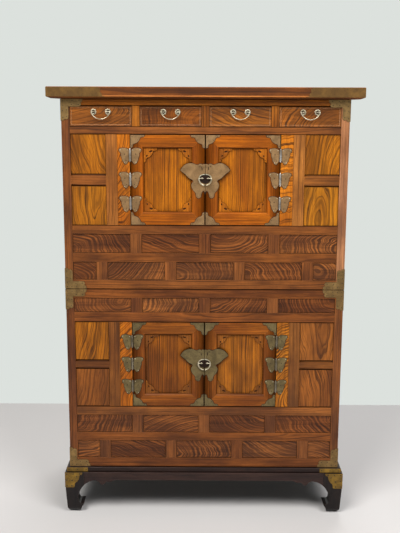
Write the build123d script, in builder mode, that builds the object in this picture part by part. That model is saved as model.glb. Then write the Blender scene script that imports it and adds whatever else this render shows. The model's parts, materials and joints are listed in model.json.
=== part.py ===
from build123d import *
import os
from collections import namedtuple
from math import acos, asin, cos, pi, sin

# A Korean two-tier chest in zelkova wood with aged brass fittings: two framed boxes stacked on a low
# stand with scrolled legs, a thick overhanging top board, four small drawers under it, and a pair of
# doors in each tier. All sizes are in millimetres. +Z is up, the doors face -Y, and the origin lies on
# the floor under the middle of the top board.

# ---- overall sizes ----
BODY_W = 880.0  # both tiers, across the corner posts
BODY_D = 430.0
SLAB_SIDE = 40.0  # how far the top board stands out past the tiers
SLAB_FRONT = 25.0
SLAB_BACK = 5.0
SLAB_FACE = 30.0  # height of the top board's square edge
SLAB_BEVEL_H = 5.0  # the underside slopes in below that edge
SLAB_BEVEL_W = 14.0
SLAB_ROUND = 1.5

# ---- stand ----
BASE_SIDE = 16.0  # how far the legs stand out past the tiers
BASE_FRONT = 12.0
LEG = 62.0  # block that each leg is carved from
APRON_T = 18.0
APRON_H = 27.0  # the aprons' depth away from their cusps
APRON_DROP = 17.0  # they hang this much lower where they meet the legs
APRON_TENON_L = 10.0
BASE_RAIL_Z = 142.0  # underside of the stand's top frame
BASE_RAIL_H = 16.0
BASE_RAIL_W = 46.0
BASE_RAIL_IN = 6.0  # the top frame stands in from the legs' faces by this much

# ---- frame members ----
POST_W = 26.0
POST_D = 34.0
RAIL_D = 30.0
SIDE_RAIL_IN = 2.0  # the side rails' inner faces stand back from the posts' by this much
BACK_RAIL_T = 22.0
MUNTIN_W = 35.0
MUNTIN_D = 24.0
MULLION_W = 35.0
JAMB_W = 39.0
JAMB_SET = 1.5  # jambs and doors stand this far behind the rails' faces
DIVIDER_W = 23.0
TENON_L = 14.0
STUB_L = 6.0  # tenons of the dividers
TENON_T = 8.0
TENON_SHOULDER = 4.0
FIT = 0.15  # clearance all round a tenon or a tongue
GROOVE_SET = 5.0  # from a frame's face to its panel groove
GROOVE_T = 6.0
GROOVE_DEEP = 7.0
TENON_BEHIND = 1.0  # wood between a panel groove and the tenons behind it
PANEL_SET = 2.2  # a panel's face lies this far behind its frame's
PANEL_FIT = 0.8  # gap between a panel's raised field and its frame
BOARD_T = 10.0
BOARD_TONGUE = 6.0
BOARD_UP = 6.0  # a tier's floor above its underside, and its roof below its top

# ---- doors ----
DOORWAY_W = 464.0
DOOR_T = 20.0
DOOR_FRAME_W = 41.0
DOOR_BEVEL = 4.5
DOOR_CLEAR = 1.5  # above and below a door
HINGE_GAP = 2.0
MEETING_GAP = 3.0
DOOR_PANEL_SET = 7.5
DOOR_PANEL_T = 8.0
STOP_T = 7.0
STOP_H = 8.0
STOP_GAP = 0.6
SPANDREL_T = 3.0
SPANDREL_W = 41.0
SPANDREL_H = 43.0
SPANDREL_HOLE = 3.2

# ---- drawers ----
DRAWERS = 4
DRAWER_SET = 0.6  # beads behind the rails' faces
DRAWER_SIDE_GAP = 0.8
DRAWER_TOP_GAP = 1.2
DRAWER_RUN_GAP = 0.3
DRAWER_FRONT_T = 18.0
DRAWER_BEAD_W = 5.0
DRAWER_BEAD_H = 1.6
DRAWER_LAP = 8.0  # how far the sides are let into the front
DRAWER_SIDE_T = 9.0
DRAWER_BOTTOM_T = 6.0
DRAWER_BOTTOM_UP = 5.0
DRAWER_GROOVE = 4.0
DRAWER_BACK_GAP = 35.4  # behind a drawer, to the back rails' inner faces
DRAWER_WALL_DROP = 6.0  # sides and back stand this much lower than the front
GUIDE_H = 24.0

# ---- brass ----
ROD_SIDES = 6  # pins, barrels, eyes and rods are hammered to six flats
PLATE_T = 1.2
PLATE_IN = 0.5  # plates keep this far from the edge of what they cover
HINGE_H = 49.0
HINGE_HALF_W = 34.5
HINGE_TO_CORNER = 0.6  # between an end hinge and the door's corner plate
KNUCKLE_R = 3.7
KNUCKLE_H = 33.0
KNUCKLE_UP = 3.0  # the barrel's middle above the wings' middle
KNUCKLE_GAP = 0.3
KNUCKLE_OFF = 0.3  # barrel clear of the wood behind it
PIN_R = 1.5
PIN_RUN = 0.1
WING_IN = 4.4  # a wing's inner edge, from the pin
CORNER_W = 43.0
CORNER_H = 39.0
LOCK_UP = 7.0  # the pulls' pivots above the middle of the doors
ARM_T = 23.0  # width of the arms of the tiers' corner plates
ARM_L = 65.0
SLAB_ARM = 168.0
SLAB_SIDE_ARM = 120.0
STRIP_L = 68.0
STRIP_H = 14.0
LEG_PLATE_W = 56.0
LEG_PLATE_H = 52.0
LEG_PLATE_FOOT = 26.0  # its width at its lower end

# ---- handles ----
EYE_POST_T = 3.4
EYE_POST_R = 3.0
EYE_R = 1.7
TRUNNION_R = 1.4
BAIL_POST_X = 22.0
BAIL_POST_UP = 13.0  # handle posts above the middle of a drawer's front
BAIL_EYE_OUT = 8.0  # from the front to the eyes' axis
BAIL_OUT = 7.0  # a bail hangs this far outside its posts
BAIL_DROP = 22.0
BAIL_R = 2.0
BAIL_CHORDS = 6  # straight runs that stand for a bail's bend
ROSETTE_R = 8.0
ROSETTE_PETALS = 8
ROSETTE_T = 1.6
PULL_EYE_X = 9.0
PULL_EYE_OUT = 6.0
PULL_OUT = 10.0  # a pull's bend reaches this far outside its eye
PULL_DROP = 21.5
PULL_R = 1.6
PULL_CHORDS = 4
KNOB_R = 2.4  # the thicker ends of bails and pulls
ROD_END_OUT = 2.7  # how far a handle's end sticks out of its eye
ROD_END_PLAY = 1.0  # between an eye and the thicker end
RIM_H = 2.4  # raised rim over the pulls
RIM_R = 20.5
RIM_W = 3.0
RIM_TOP = 13.5
RIM_BEND = [(1, 0), (0.92, 0.5), (0.6, 0.88)]  # its curve, as shares of its reach sideways and upward

Band = namedtuple("Band", "kind height")
LOWER_BANDS = [
    Band("rail", 32.0),
    Band("staggered", 60.0),
    Band("rail", 28.0),
    Band("row", 60.0),
    Band("rail", 30.0),
    Band("doors", 282.0),
    Band("rail", 32.0),
    Band("row", 47.0),
    Band("rail", 29.0),
]
UPPER_BANDS = [
    Band("rail", 30.0),
    Band("staggered", 57.0),
    Band("rail", 29.0),
    Band("row", 60.0),
    Band("rail", 28.0),
    Band("doors", 280.0),
    Band("rail", 24.0),
    Band("drawers", 62.0),
    Band("rail", 21.0),
]
Tier = namedtuple("Tier", "name bands cross_h")
LOWER = Tier("lower", LOWER_BANDS, 31.0)
UPPER = Tier("upper", UPPER_BANDS, 38.0)

# ---- worked out from the sizes above ----
SLAB_W = BODY_W + 2 * SLAB_SIDE
SLAB_D = BODY_D + SLAB_FRONT + SLAB_BACK
SLAB_Y = PLATE_T / 2  # the board's middle, so that the plates on its front count in the middle of all
FRONT = SLAB_Y - SLAB_D / 2 + SLAB_FRONT
BACK = FRONT + BODY_D
SIDE = BODY_W / 2
IN_X = SIDE - POST_W  # inner face of a corner post
SIDE_RAIL_T = POST_W - SIDE_RAIL_IN
POST_FRONT_IN = FRONT + POST_D
POST_BACK_IN = BACK - POST_D
LEG_X = SIDE + BASE_SIDE  # outer face of a leg
LEG_Y = FRONT - BASE_FRONT
BASE_TOP = BASE_RAIL_Z + BASE_RAIL_H
APRON_EDGE_Z = BASE_RAIL_Z - APRON_H
APRON_END_Z = APRON_EDGE_Z - APRON_DROP
SPLIT_Z = BASE_TOP + sum(band.height for band in LOWER_BANDS)
SLAB_Z = SPLIT_Z + sum(band.height for band in UPPER_BANDS)
TENON_SET = GROOVE_SET + GROOVE_T + TENON_BEHIND  # from a frame's face to its tenons
TONGUE_T = GROOVE_T - 2 * FIT
TONGUE_L = GROOVE_DEEP - 4 * FIT
DOORWAY = DOORWAY_W / 2
MULLION_X0 = DOORWAY + JAMB_W
MULLION_X1 = MULLION_X0 + MULLION_W
PITCH = (2 * IN_X + MUNTIN_W) / 4
DRAWER_PITCH = (2 * IN_X + DIVIDER_W) / DRAWERS
DOOR_FACE = FRONT + JAMB_SET
DOOR_X0 = MEETING_GAP / 2
DOOR_X1 = DOORWAY - HINGE_GAP
HINGE_X = DOORWAY - HINGE_GAP / 2
HINGE_Y = DOOR_FACE - KNUCKLE_R - KNUCKLE_OFF
PIN_BORE_R = (PIN_R + PIN_RUN) / cos(pi / ROD_SIDES)  # to the bore's corners, as its flats clear the pin
BAIL_HALF_W = BAIL_POST_X + BAIL_OUT
PULL_HALF_W = PULL_EYE_X + PULL_OUT
KNUCKLE_LOW = KNUCKLE_UP - KNUCKLE_H / 2  # the barrel's lower end, from the wings' middle

FRONT_GROOVE = (FRONT + GROOVE_SET, FRONT + GROOVE_SET + GROOVE_T)
FRONT_TONGUE = (FRONT_GROOVE[0] + FIT, FRONT_GROOVE[1] - FIT)
BACK_GROOVE = (BACK - GROOVE_SET - GROOVE_T, BACK - GROOVE_SET)
SIDE_GROOVE = (SIDE - GROOVE_SET - GROOVE_T, SIDE - GROOVE_SET)


# ---- helpers ----
def blocks(boxes, mode=Mode.ADD):
    """Boxes, each from three (low, high) pairs, joined to the part being built or cut from it."""
    solids = []
    for x, y, z in boxes:
        solids.append(Solid.make_box(x[1] - x[0], y[1] - y[0], z[1] - z[0], Plane((x[0], y[0], z[0]))))
    add(solids, mode=mode)


def both_sides(x):
    """A (low, high) pair in x, and its mirror image."""
    return [x, (-x[1], -x[0])]


def facing_front(y, x=0.0, z=0.0):
    """An upright plane that looks at -Y, with its own x to the right and its own y up."""
    return Plane((x, y, z), x_dir=(1, 0, 0), z_dir=(0, -1, 0))


def facing_side(x, y=0.0, z=0.0):
    """An upright plane that looks at +X, with its own x towards the back and its own y up."""
    return Plane((x, y, z), x_dir=(0, 1, 0), z_dir=(1, 0, 0))


def arcs(*points):
    """Arcs end to end: every second point is the middle of one."""
    for start, middle, end in zip(points[::2], points[1::2], points[2::2]):
        ThreePointArc(start, middle, end)


def flipped(points, sx=1, sy=1):
    return [(sx * x, sy * y) for x, y in points]


def save(shape, label):
    shape.label = label
    export_step(shape, f"parts/{label}.step")


def save_group(label, shapes):
    """Pieces that touch, kept apart as separate solids in one node."""
    save(Compound(children=[solid for shape in shapes for solid in shape.solids()]), label)


# ---- layout of a tier ----
def levels(tier):
    """The tier's bands as (kind, lowest z, highest z), from the bottom up."""
    found = []
    z = BASE_TOP if tier is LOWER else SPLIT_Z
    for band in tier.bands:
        found.append((band.kind, z, z + band.height))
        z += band.height
    return found


def band_of(tier, kind):
    return next((z0, z1) for name, z0, z1 in levels(tier) if name == kind)


def ends_of(tier):
    return levels(tier)[0][1], levels(tier)[-1][2]


def muntin_places(kind):
    """Middles of the short uprights in a row of panels. Every second row is staggered by half a pitch."""
    counts = {"row": (-1, 0, 1), "staggered": (-1.5, -0.5, 0.5, 1.5)}
    return [count * PITCH for count in counts.get(kind, ())]


def divider_places():
    return [-IN_X - DIVIDER_W / 2 + i * DRAWER_PITCH for i in range(1, DRAWERS)]


def cross_levels(tier):
    """The cross piece that splits the panels beside the doors."""
    middle = sum(band_of(tier, "doors")) / 2
    return middle - tier.cross_h / 2, middle + tier.cross_h / 2


def front_openings(tier):
    """Every panel opening on the front as ((x0, x1), (z0, z1))."""
    found = []
    for kind, z0, z1 in levels(tier):
        if kind in ("row", "staggered"):
            edges = [-IN_X]
            for x in muntin_places(kind):
                edges += [x - MUNTIN_W / 2, x + MUNTIN_W / 2]
            edges.append(IN_X)
            found += [(span, (z0, z1)) for span in zip(edges[::2], edges[1::2])]
    z0, z1 = band_of(tier, "doors")
    c0, c1 = cross_levels(tier)
    for span in both_sides((MULLION_X1, IN_X)):
        found += [(span, (z0, c0)), (span, (c1, z1))]
    return found


def side_levels(tier):
    """Rails and panels of the sides and the back, where tall panels span the rows of small ones. A rail
    stands above the doors only where it carries the board that the drawers run on."""
    found = levels(tier)
    kinds = [kind for kind, z0, z1 in found]
    under_doors = kinds.index("doors") - 1
    under_drawers = [kinds.index("drawers") - 1] if "drawers" in kinds else []
    rails = [found[i][1:] for i in (0, under_doors, *under_drawers, len(found) - 1)]
    panels = [(below[1], above[0]) for below, above in zip(rails, rails[1:])]
    return rails, panels


def rail_tenons(tier, grow=0.0):
    """The tenons of a tier's front rails as boxes. A mortise is the same box, grown by its clearance."""
    y = (FRONT + TENON_SET - grow, FRONT + TENON_SET + TENON_T + grow)
    found = []
    for kind, z0, z1 in levels(tier):
        if kind == "rail":
            z = (z0 + TENON_SHOULDER - grow, z1 - TENON_SHOULDER + grow)
            found += [(x, y, z) for x in both_sides((IN_X, IN_X + TENON_L + grow))]
    return found


def rail_stubs(tier):
    """Stub tongues of the side and back rails, which sit in the posts' grooves between the panels."""
    back = (BACK_GROOVE[0] + FIT, BACK_GROOVE[1] - FIT)
    side = (SIDE_GROOVE[0] + FIT, SIDE_GROOVE[1] - FIT)
    found = []
    rails = side_levels(tier)[0]
    for i, (z0, z1) in enumerate(rails):
        z = (z0 + GROOVE_DEEP if i else z0, z1 - GROOVE_DEEP if i < len(rails) - 1 else z1)
        found += [(x, back, z) for x in both_sides((IN_X, IN_X + TONGUE_L))]
        for x in both_sides(side):
            found.append((x, (POST_FRONT_IN - TONGUE_L, POST_FRONT_IN), z))
            found.append((x, (POST_BACK_IN, POST_BACK_IN + TONGUE_L), z))
    return found


def divider_tenons(grow=0.0):
    z0, z1 = band_of(UPPER, "drawers")
    half = DIVIDER_W / 2 - TENON_SHOULDER + grow
    y = (FRONT + TENON_SET - grow, FRONT + TENON_SET + TENON_T + grow)
    found = []
    for x in divider_places():
        for z in ((z0 - STUB_L - grow, z0), (z1, z1 + STUB_L + grow)):
            found.append(((x - half, x + half), y, z))
    return found


def board_levels(tier):
    """Boards let into a tier's rails: its floor and roof, or in the upper tier what the drawers run on."""
    z0, z1 = ends_of(tier)
    floor = (z0 + BOARD_UP, z0 + BOARD_UP + BOARD_T)
    if tier is LOWER:
        return [floor, (z1 - BOARD_UP - BOARD_T, z1 - BOARD_UP)]
    deck = band_of(tier, "drawers")[0]
    return [floor, (deck - BOARD_T, deck)]


# ---- the two framed boxes ----
def tier_posts(tier):
    """Four corner posts, grooved for the panels and mortised for every rail."""
    z = ends_of(tier)
    depths = ((FRONT, POST_FRONT_IN), (POST_BACK_IN, BACK))
    inner_y = ((POST_FRONT_IN - GROOVE_DEEP, POST_FRONT_IN), (POST_BACK_IN, POST_BACK_IN + GROOVE_DEEP))
    inner_x = both_sides((IN_X, IN_X + GROOVE_DEEP))
    grooves = [(x, y, z) for x in inner_x for y in (FRONT_GROOVE, BACK_GROOVE)]
    grooves += [(x, y, z) for x in both_sides(SIDE_GROOVE) for y in inner_y]
    with BuildPart() as posts:
        blocks([(x, y, z) for x in both_sides((IN_X, SIDE)) for y in depths])
        blocks(grooves + rail_tenons(tier, FIT), Mode.SUBTRACT)
    save(posts.part, f"{tier.name}_corner_posts")


def tier_rails(tier):
    """Front, side and back rails with their tenons, ploughed for panels and boards."""
    side_rails, side_panels = side_levels(tier)
    front_spans = {
        "row": [(-IN_X, IN_X)],
        "staggered": [(-IN_X, IN_X)],
        "doors": both_sides((DOORWAY + GROOVE_DEEP, IN_X)),
    }
    rails, cuts = [], []
    for kind, z0, z1 in levels(tier):
        if kind == "rail":
            rails.append(((-IN_X, IN_X), (FRONT, FRONT + RAIL_D), (z0, z1)))
        for x in front_spans.get(kind, ()):
            cuts += [(x, FRONT_GROOVE, edge) for edge in ((z0 - GROOVE_DEEP, z0), (z1, z1 + GROOVE_DEEP))]
    for z in side_rails:
        rails.append(((-IN_X, IN_X), (BACK - BACK_RAIL_T, BACK), z))
        rails += [(x, (POST_FRONT_IN, POST_BACK_IN), z) for x in both_sides((SIDE - SIDE_RAIL_T, SIDE))]
    for z0, z1 in side_panels:
        for edge in ((z0 - GROOVE_DEEP, z0), (z1, z1 + GROOVE_DEEP)):
            cuts.append(((-IN_X, IN_X), BACK_GROOVE, edge))
            cuts += [(x, (POST_FRONT_IN, POST_BACK_IN), edge) for x in both_sides(SIDE_GROOVE)]
    side = SIDE - SIDE_RAIL_T + BOARD_TONGUE + FIT
    depth = (FRONT + RAIL_D - BOARD_TONGUE - FIT, BACK - BACK_RAIL_T + BOARD_TONGUE + FIT)
    cuts += [((-side, side), depth, grown(z, FIT)) for z in board_levels(tier)]
    if tier is UPPER:
        cuts += divider_tenons(FIT)
    with BuildPart() as framing:
        blocks(rails)
        blocks(cuts, Mode.SUBTRACT)
        blocks(rail_tenons(tier) + rail_stubs(tier))
    save(framing.part, f"{tier.name}_rails")


def tier_uprights(tier):
    """Muntins between the small panels, mullions and jambs beside the doors, and the dividers."""
    door_z = band_of(tier, "doors")
    stub_z = grown(door_z, TONGUE_L)
    c0, c1 = cross_levels(tier)
    uprights, grooves = [], []
    for kind, z0, z1 in levels(tier):
        for x in muntin_places(kind):
            span, tall = (x - MUNTIN_W / 2, x + MUNTIN_W / 2), (z0 - TONGUE_L, z1 + TONGUE_L)
            uprights += [(span, (FRONT, FRONT + MUNTIN_D), (z0, z1)), (span, FRONT_TONGUE, tall)]
            grooves.append(((span[0], span[0] + GROOVE_DEEP), FRONT_GROOVE, tall))
            grooves.append(((span[1] - GROOVE_DEEP, span[1]), FRONT_GROOVE, tall))
    for x in both_sides((MULLION_X0, MULLION_X1)):
        uprights += [(x, (FRONT, FRONT + RAIL_D), door_z), (x, FRONT_TONGUE, stub_z)]
    grooves += [(x, FRONT_GROOVE, stub_z) for x in both_sides((MULLION_X1 - GROOVE_DEEP, MULLION_X1))]
    if tier is UPPER:
        for x in divider_places():
            span = (x - DIVIDER_W / 2, x + DIVIDER_W / 2)
            uprights.append((span, (FRONT, FRONT + RAIL_D), band_of(tier, "drawers")))
        uprights += divider_tenons()
    with BuildPart() as muntins:
        blocks(uprights)
        blocks(grooves, Mode.SUBTRACT)
    edges = ((c0, c0 + GROOVE_DEEP), (c1 - GROOVE_DEEP, c1))
    between = both_sides((MULLION_X1, IN_X))
    tongues = both_sides((MULLION_X1 - TONGUE_L, IN_X + TONGUE_L))
    with BuildPart() as crosses:
        blocks([(x, (FRONT, FRONT + MUNTIN_D), (c0, c1)) for x in between])
        blocks([(x, FRONT_TONGUE, (c0, c1)) for x in tongues])
        blocks([(x, FRONT_GROOVE, edge) for x in tongues for edge in edges], Mode.SUBTRACT)
    with BuildPart() as jambs:
        blocks([(x, (DOOR_FACE, FRONT + RAIL_D), door_z) for x in both_sides((DOORWAY, MULLION_X0))])
        tongues = both_sides((DOORWAY + GROOVE_DEEP + FIT, MULLION_X0))
        blocks([(x, FRONT_TONGUE, stub_z) for x in tongues])
    save_group(f"{tier.name}_uprights", [muntins.part, crosses.part, jambs.part])


def tier_panels(tier):
    """Figured panels of the front, each with a raised field, and flat ones in the sides and the back."""
    with BuildPart() as front:
        for width, height in front_openings(tier):
            raised = (FRONT + PANEL_SET, FRONT_TONGUE[1])
            blocks([(grown(width, -PANEL_FIT), raised, grown(height, -PANEL_FIT))])
            blocks([(grown(width, TONGUE_L), FRONT_TONGUE, grown(height, TONGUE_L))])
    save(front.part, f"{tier.name}_front_panels")
    heights = [grown(height, TONGUE_L) for height in side_levels(tier)[1]]
    depth = (POST_FRONT_IN - TONGUE_L, POST_BACK_IN + TONGUE_L)
    with BuildPart() as side:
        blocks([(x, depth, height) for x in both_sides(grown(SIDE_GROOVE, -FIT)) for height in heights])
    save(side.part, f"{tier.name}_side_panels")
    width = grown((-IN_X, IN_X), TONGUE_L)
    with BuildPart() as back:
        blocks([(width, grown(BACK_GROOVE, -FIT), height) for height in heights])
    save(back.part, f"{tier.name}_back_panels")


def tier_inner_boards(tier):
    """Boards let into the rails, the door stops, and the guides that the drawers run between."""
    side = SIDE - SIDE_RAIL_T + BOARD_TONGUE
    depth = (FRONT + RAIL_D - BOARD_TONGUE, BACK - BACK_RAIL_T + BOARD_TONGUE)
    corners = ((FRONT, POST_FRONT_IN + FIT), (POST_BACK_IN - FIT, BACK))
    with BuildPart() as boards:
        blocks([((-side, side), depth, z) for z in board_levels(tier)])
        corner_x = both_sides((IN_X - FIT, SIDE))
        blocks([(x, y, z) for x in corner_x for y in corners for z in board_levels(tier)], Mode.SUBTRACT)
    z0, z1 = band_of(tier, "doors")
    stop_y = DOOR_FACE + DOOR_T + STOP_GAP
    stops = ((z0, z0 + STOP_H), (z1 - STOP_H, z1))
    loose = [((-DOORWAY, DOORWAY), (stop_y, stop_y + STOP_T), z) for z in stops]
    if tier is UPPER:
        deck = band_of(tier, "drawers")[0]
        high = (deck, deck + GUIDE_H)
        behind = (FRONT + RAIL_D, BACK - BACK_RAIL_T)
        loose += [((x - DIVIDER_W / 2, x + DIVIDER_W / 2), behind, high) for x in divider_places()]
        loose += [(x, (POST_FRONT_IN, POST_BACK_IN), high) for x in both_sides((IN_X, SIDE - SIDE_RAIL_T))]
    with BuildPart() as rest:
        blocks(loose)
    save_group(f"{tier.name}_inner_boards", [boards.part, rest.part])


def top_board():
    """The thick top, square-edged above and sloped in underneath."""
    with BuildPart() as slab:
        with BuildSketch(Plane((0, SLAB_Y, SLAB_Z + SLAB_BEVEL_H))):
            Rectangle(SLAB_W, SLAB_D)
        extrude(amount=SLAB_FACE)
        fillet(slab.faces().sort_by(Axis.Z)[-1].edges(), SLAB_ROUND)
        with BuildSketch(Plane((0, SLAB_Y, SLAB_Z + SLAB_BEVEL_H))):
            Rectangle(SLAB_W, SLAB_D)
        with BuildSketch(Plane((0, SLAB_Y, SLAB_Z))):
            Rectangle(SLAB_W - 2 * SLAB_BEVEL_W, SLAB_D - 2 * SLAB_BEVEL_H)
        loft()
    save(slab.part, "top_board")


# ---- the stand ----
def leg_lines(s):
    """A leg's silhouette, from its outer face inward. s is 1 or -1 for the way that inward points. The
    curves are given as shares of the leg's width and of its height under the aprons."""
    toe = [(0.065, 0.245), (0.145, 0.082), (0.34, 0)]
    heel = [(0.34, 0), (0.74, 0), (0.83, 0.204), (0.944, 0.45), (0.774, 0.47)]
    scroll = [(0.774, 0.47), (0.637, 0.633), (0.726, 0.816), (0.847, 0.918), (1, 1)]
    toe, heel, scroll = ([(s * LEG * x, APRON_END_Z * z) for x, z in line] for line in (toe, heel, scroll))
    Polyline(scroll[-1], (s * LEG, BASE_RAIL_Z), (0, BASE_RAIL_Z), (0, 0.9 * APRON_END_Z), toe[0])
    arcs(*toe)
    Polyline(*heel)
    arcs(*scroll)


def leg(right, back):
    """One carved leg: the same silhouette seen from the front and from the side."""
    x = LEG_X if right else -LEG_X
    y = BACK if back else LEG_Y
    with BuildPart() as carved:
        with BuildSketch(facing_front(y, x)):
            with BuildLine():
                leg_lines(-1 if right else 1)
            make_face()
        extrude(amount=LEG if back else -LEG)
        with BuildSketch(facing_side(x, y)):
            with BuildLine():
                leg_lines(-1 if back else 1)
            make_face()
        extrude(amount=-LEG if right else LEG, mode=Mode.INTERSECT)
        blocks(apron_tenons(FIT), Mode.SUBTRACT)
    return carved.part


def apron_tenons(grow=0.0):
    """Tenons of the aprons in the legs. A mortise is the same box, grown by its clearance."""
    inset = (APRON_T - TENON_T) / 2 - grow
    far = APRON_T - inset
    z = (APRON_EDGE_Z - grow, BASE_RAIL_Z - TENON_SHOULDER + grow)
    deep = APRON_TENON_L + grow
    found = []
    for x in both_sides((LEG_X - LEG, LEG_X - LEG + deep)):
        found.append((x, (LEG_Y + inset, LEG_Y + far), z))
        found.append((x, (BACK - far, BACK - inset), z))
    for x in both_sides((LEG_X - far, LEG_X - inset)):
        found.append((x, (LEG_Y + LEG - deep, LEG_Y + LEG), z))
        found.append((x, (BACK - LEG, BACK - LEG + deep), z))
    return found


def apron_lines(half):
    """Half of a cusped apron: an arch that runs on from the leg, a nose, a small wave, then a straight
    edge. The points are given from the apron's end, and down from its straight edge."""
    arch = [(0, APRON_DROP), (18, 5.5), (37, 1)]
    wave = [(37, 1), (47, 6), (54, 15), (60, 17.5), (66, 14), (73, 6), (88, 6), (100, 0), (half, 0)]
    arch, wave = ([(half - x, APRON_EDGE_Z - drop) for x, drop in points] for points in (arch, wave))
    Polyline(wave[-1], (0, BASE_RAIL_Z), (half, BASE_RAIL_Z), arch[0])
    arcs(*arch)
    Polyline(*wave)


def stand():
    """The low stand: four legs, four aprons and a mitred frame that the lower tier sits on."""
    save_group("stand_legs", [leg(right, back) for right in (False, True) for back in (False, True)])
    half_x = LEG_X - LEG
    middle = (LEG_Y + BACK) / 2
    half_y = (BACK - LEG_Y) / 2 - LEG
    with BuildPart() as aprons:
        with BuildSketch(facing_front(LEG_Y)):
            with BuildLine():
                apron_lines(half_x)
            make_face()
            mirror(about=Plane.YZ)
        extrude(amount=-APRON_T)
        for side in (1, -1):
            with BuildSketch(facing_side(side * LEG_X, middle)):
                with BuildLine():
                    apron_lines(half_y)
                make_face()
                mirror(about=Plane.YZ)
            extrude(amount=-side * APRON_T)
        blocks([((-half_x, half_x), (BACK - APRON_T, BACK), (APRON_EDGE_Z, BASE_RAIL_Z))])
        blocks(apron_tenons())
    save(aprons.part, "stand_aprons")
    x, y = LEG_X - BASE_RAIL_IN, LEG_Y + BASE_RAIL_IN
    rails = []
    for corners in mitred_frame((-x, x), (y, BACK), BASE_RAIL_W):
        with BuildPart() as rail:
            with BuildSketch(Plane.XY.offset(BASE_RAIL_Z)):
                with BuildLine():
                    Polyline(*corners, close=True)
                make_face()
            extrude(amount=BASE_RAIL_H)
        rails.append(rail.part)
    save_group("stand_top_frame", rails)


def mitred_frame(x, y, width):
    """The four members of a rectangular frame with mitred corners, each as its four corners."""
    outer = [(x[0], y[0]), (x[1], y[0]), (x[1], y[1]), (x[0], y[1])]
    inward = [(width, width), (-width, width), (-width, -width), (width, -width)]
    inner = [(a + dx, b + dy) for (a, b), (dx, dy) in zip(outer, inward)]
    return [(outer[i - 1], outer[i], inner[i], inner[i - 1]) for i in range(4)]


# ---- doors ----
def triangle_lobes(w, h):
    """The scalloped long side of a right triangle with legs w and h, from the end of w to the end of h."""
    shares = [(1, 0), (0.94, 0.13), (0.71, 0.19), (0.61, 0.42)]
    shares += [(y, x) for x, y in reversed(shares)]
    return [(w * x, h * y) for x, y in shares]


def door_span(right):
    return (DOOR_X0, DOOR_X1) if right else (-DOOR_X1, -DOOR_X0)


def door_levels(tier):
    z0, z1 = band_of(tier, "doors")
    return z0 + DOOR_CLEAR, z1 - DOOR_CLEAR


def spandrel(corner, sx, sz):
    """A carved, pierced bracket in a corner of a door's frame, lying on the panel."""
    with BuildPart() as bracket:
        with BuildSketch(facing_front(DOOR_FACE + DOOR_PANEL_SET, *corner)):
            with BuildLine():
                Polyline((0, 0), *flipped(triangle_lobes(SPANDREL_W, SPANDREL_H), sx, sz), close=True)
            make_face()
            with Locations((sx * SPANDREL_W / 4, sz * SPANDREL_H / 4)):
                RegularPolygon(SPANDREL_HOLE, 3, mode=Mode.SUBTRACT)
        extrude(amount=SPANDREL_T)
    return bracket.part


def door(tier, right):
    """A framed door: mitred stiles and rails, a recessed panel and a bracket in each inner corner."""
    x0, x1 = door_span(right)
    z0, z1 = door_levels(tier)
    w = DOOR_FRAME_W
    sight_x, sight_z = (x0 + w, x1 - w), (z0 + w, z1 - w)
    middle = (sum(sight_x) / 2, sum(sight_z) / 2)
    width, height = sight_x[1] - sight_x[0], sight_z[1] - sight_z[0]
    groove = (DOOR_FACE + DOOR_PANEL_SET - FIT, DOOR_FACE + DOOR_PANEL_SET + GROOVE_T - FIT)
    with BuildPart() as bevel:
        with BuildSketch(facing_front(DOOR_FACE)):
            with Locations(middle):
                Rectangle(width + 2 * DOOR_BEVEL, height + 2 * DOOR_BEVEL)
        extrude(amount=-DOOR_BEVEL, taper=45)
    pieces = []
    for corners in mitred_frame((x0, x1), (z0, z1), w):
        with BuildPart() as member:
            with BuildSketch(facing_front(DOOR_FACE)):
                with BuildLine():
                    Polyline(*corners, close=True)
                make_face()
            extrude(amount=-DOOR_T)
            add(bevel.part, mode=Mode.SUBTRACT)
            blocks([(grown(sight_x, GROOVE_DEEP), groove, grown(sight_z, GROOVE_DEEP))], Mode.SUBTRACT)
        pieces.append(member.part)
    for x, sx in zip(sight_x, (1, -1)):
        for z, sz in zip(sight_z, (1, -1)):
            pieces.append(spandrel((x, z), sx, sz))
    name = door_name(tier, right)
    save_group(f"{name}_frame", pieces)
    with BuildPart() as panel:
        face = DOOR_FACE + DOOR_PANEL_SET
        field = (grown(sight_x, -2 * FIT), (face, face + DOOR_PANEL_T), grown(sight_z, -2 * FIT))
        tongue = (grown(sight_x, TONGUE_L), (face, face + TONGUE_T), grown(sight_z, TONGUE_L))
        blocks([field, tongue])
    save(panel.part, f"{name}_panel")


def grown(span, by):
    return span[0] - by, span[1] + by


def door_name(tier, right):
    return f"{tier.name}_{'right' if right else 'left'}_door"


# ---- hinges ----
def hinge_levels(tier):
    """Middles of a door's three hinges. The end ones sit against the door's corner plates."""
    z0, z1 = door_levels(tier)
    reach = PLATE_IN + CORNER_H + HINGE_TO_CORNER + HINGE_H / 2
    return [z0 + reach, (z0 + z1) / 2, z1 - reach]


def hinge_rod(x, z0, z1, radius):
    """An upright rod on a hinge's axis."""
    with BuildPart() as rod:
        with BuildSketch(Plane((x, HINGE_Y, z0))):
            RegularPolygon(radius, ROD_SIDES, rotation=180 / ROD_SIDES)
        extrude(amount=z1 - z0)
    return rod.part


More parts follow.
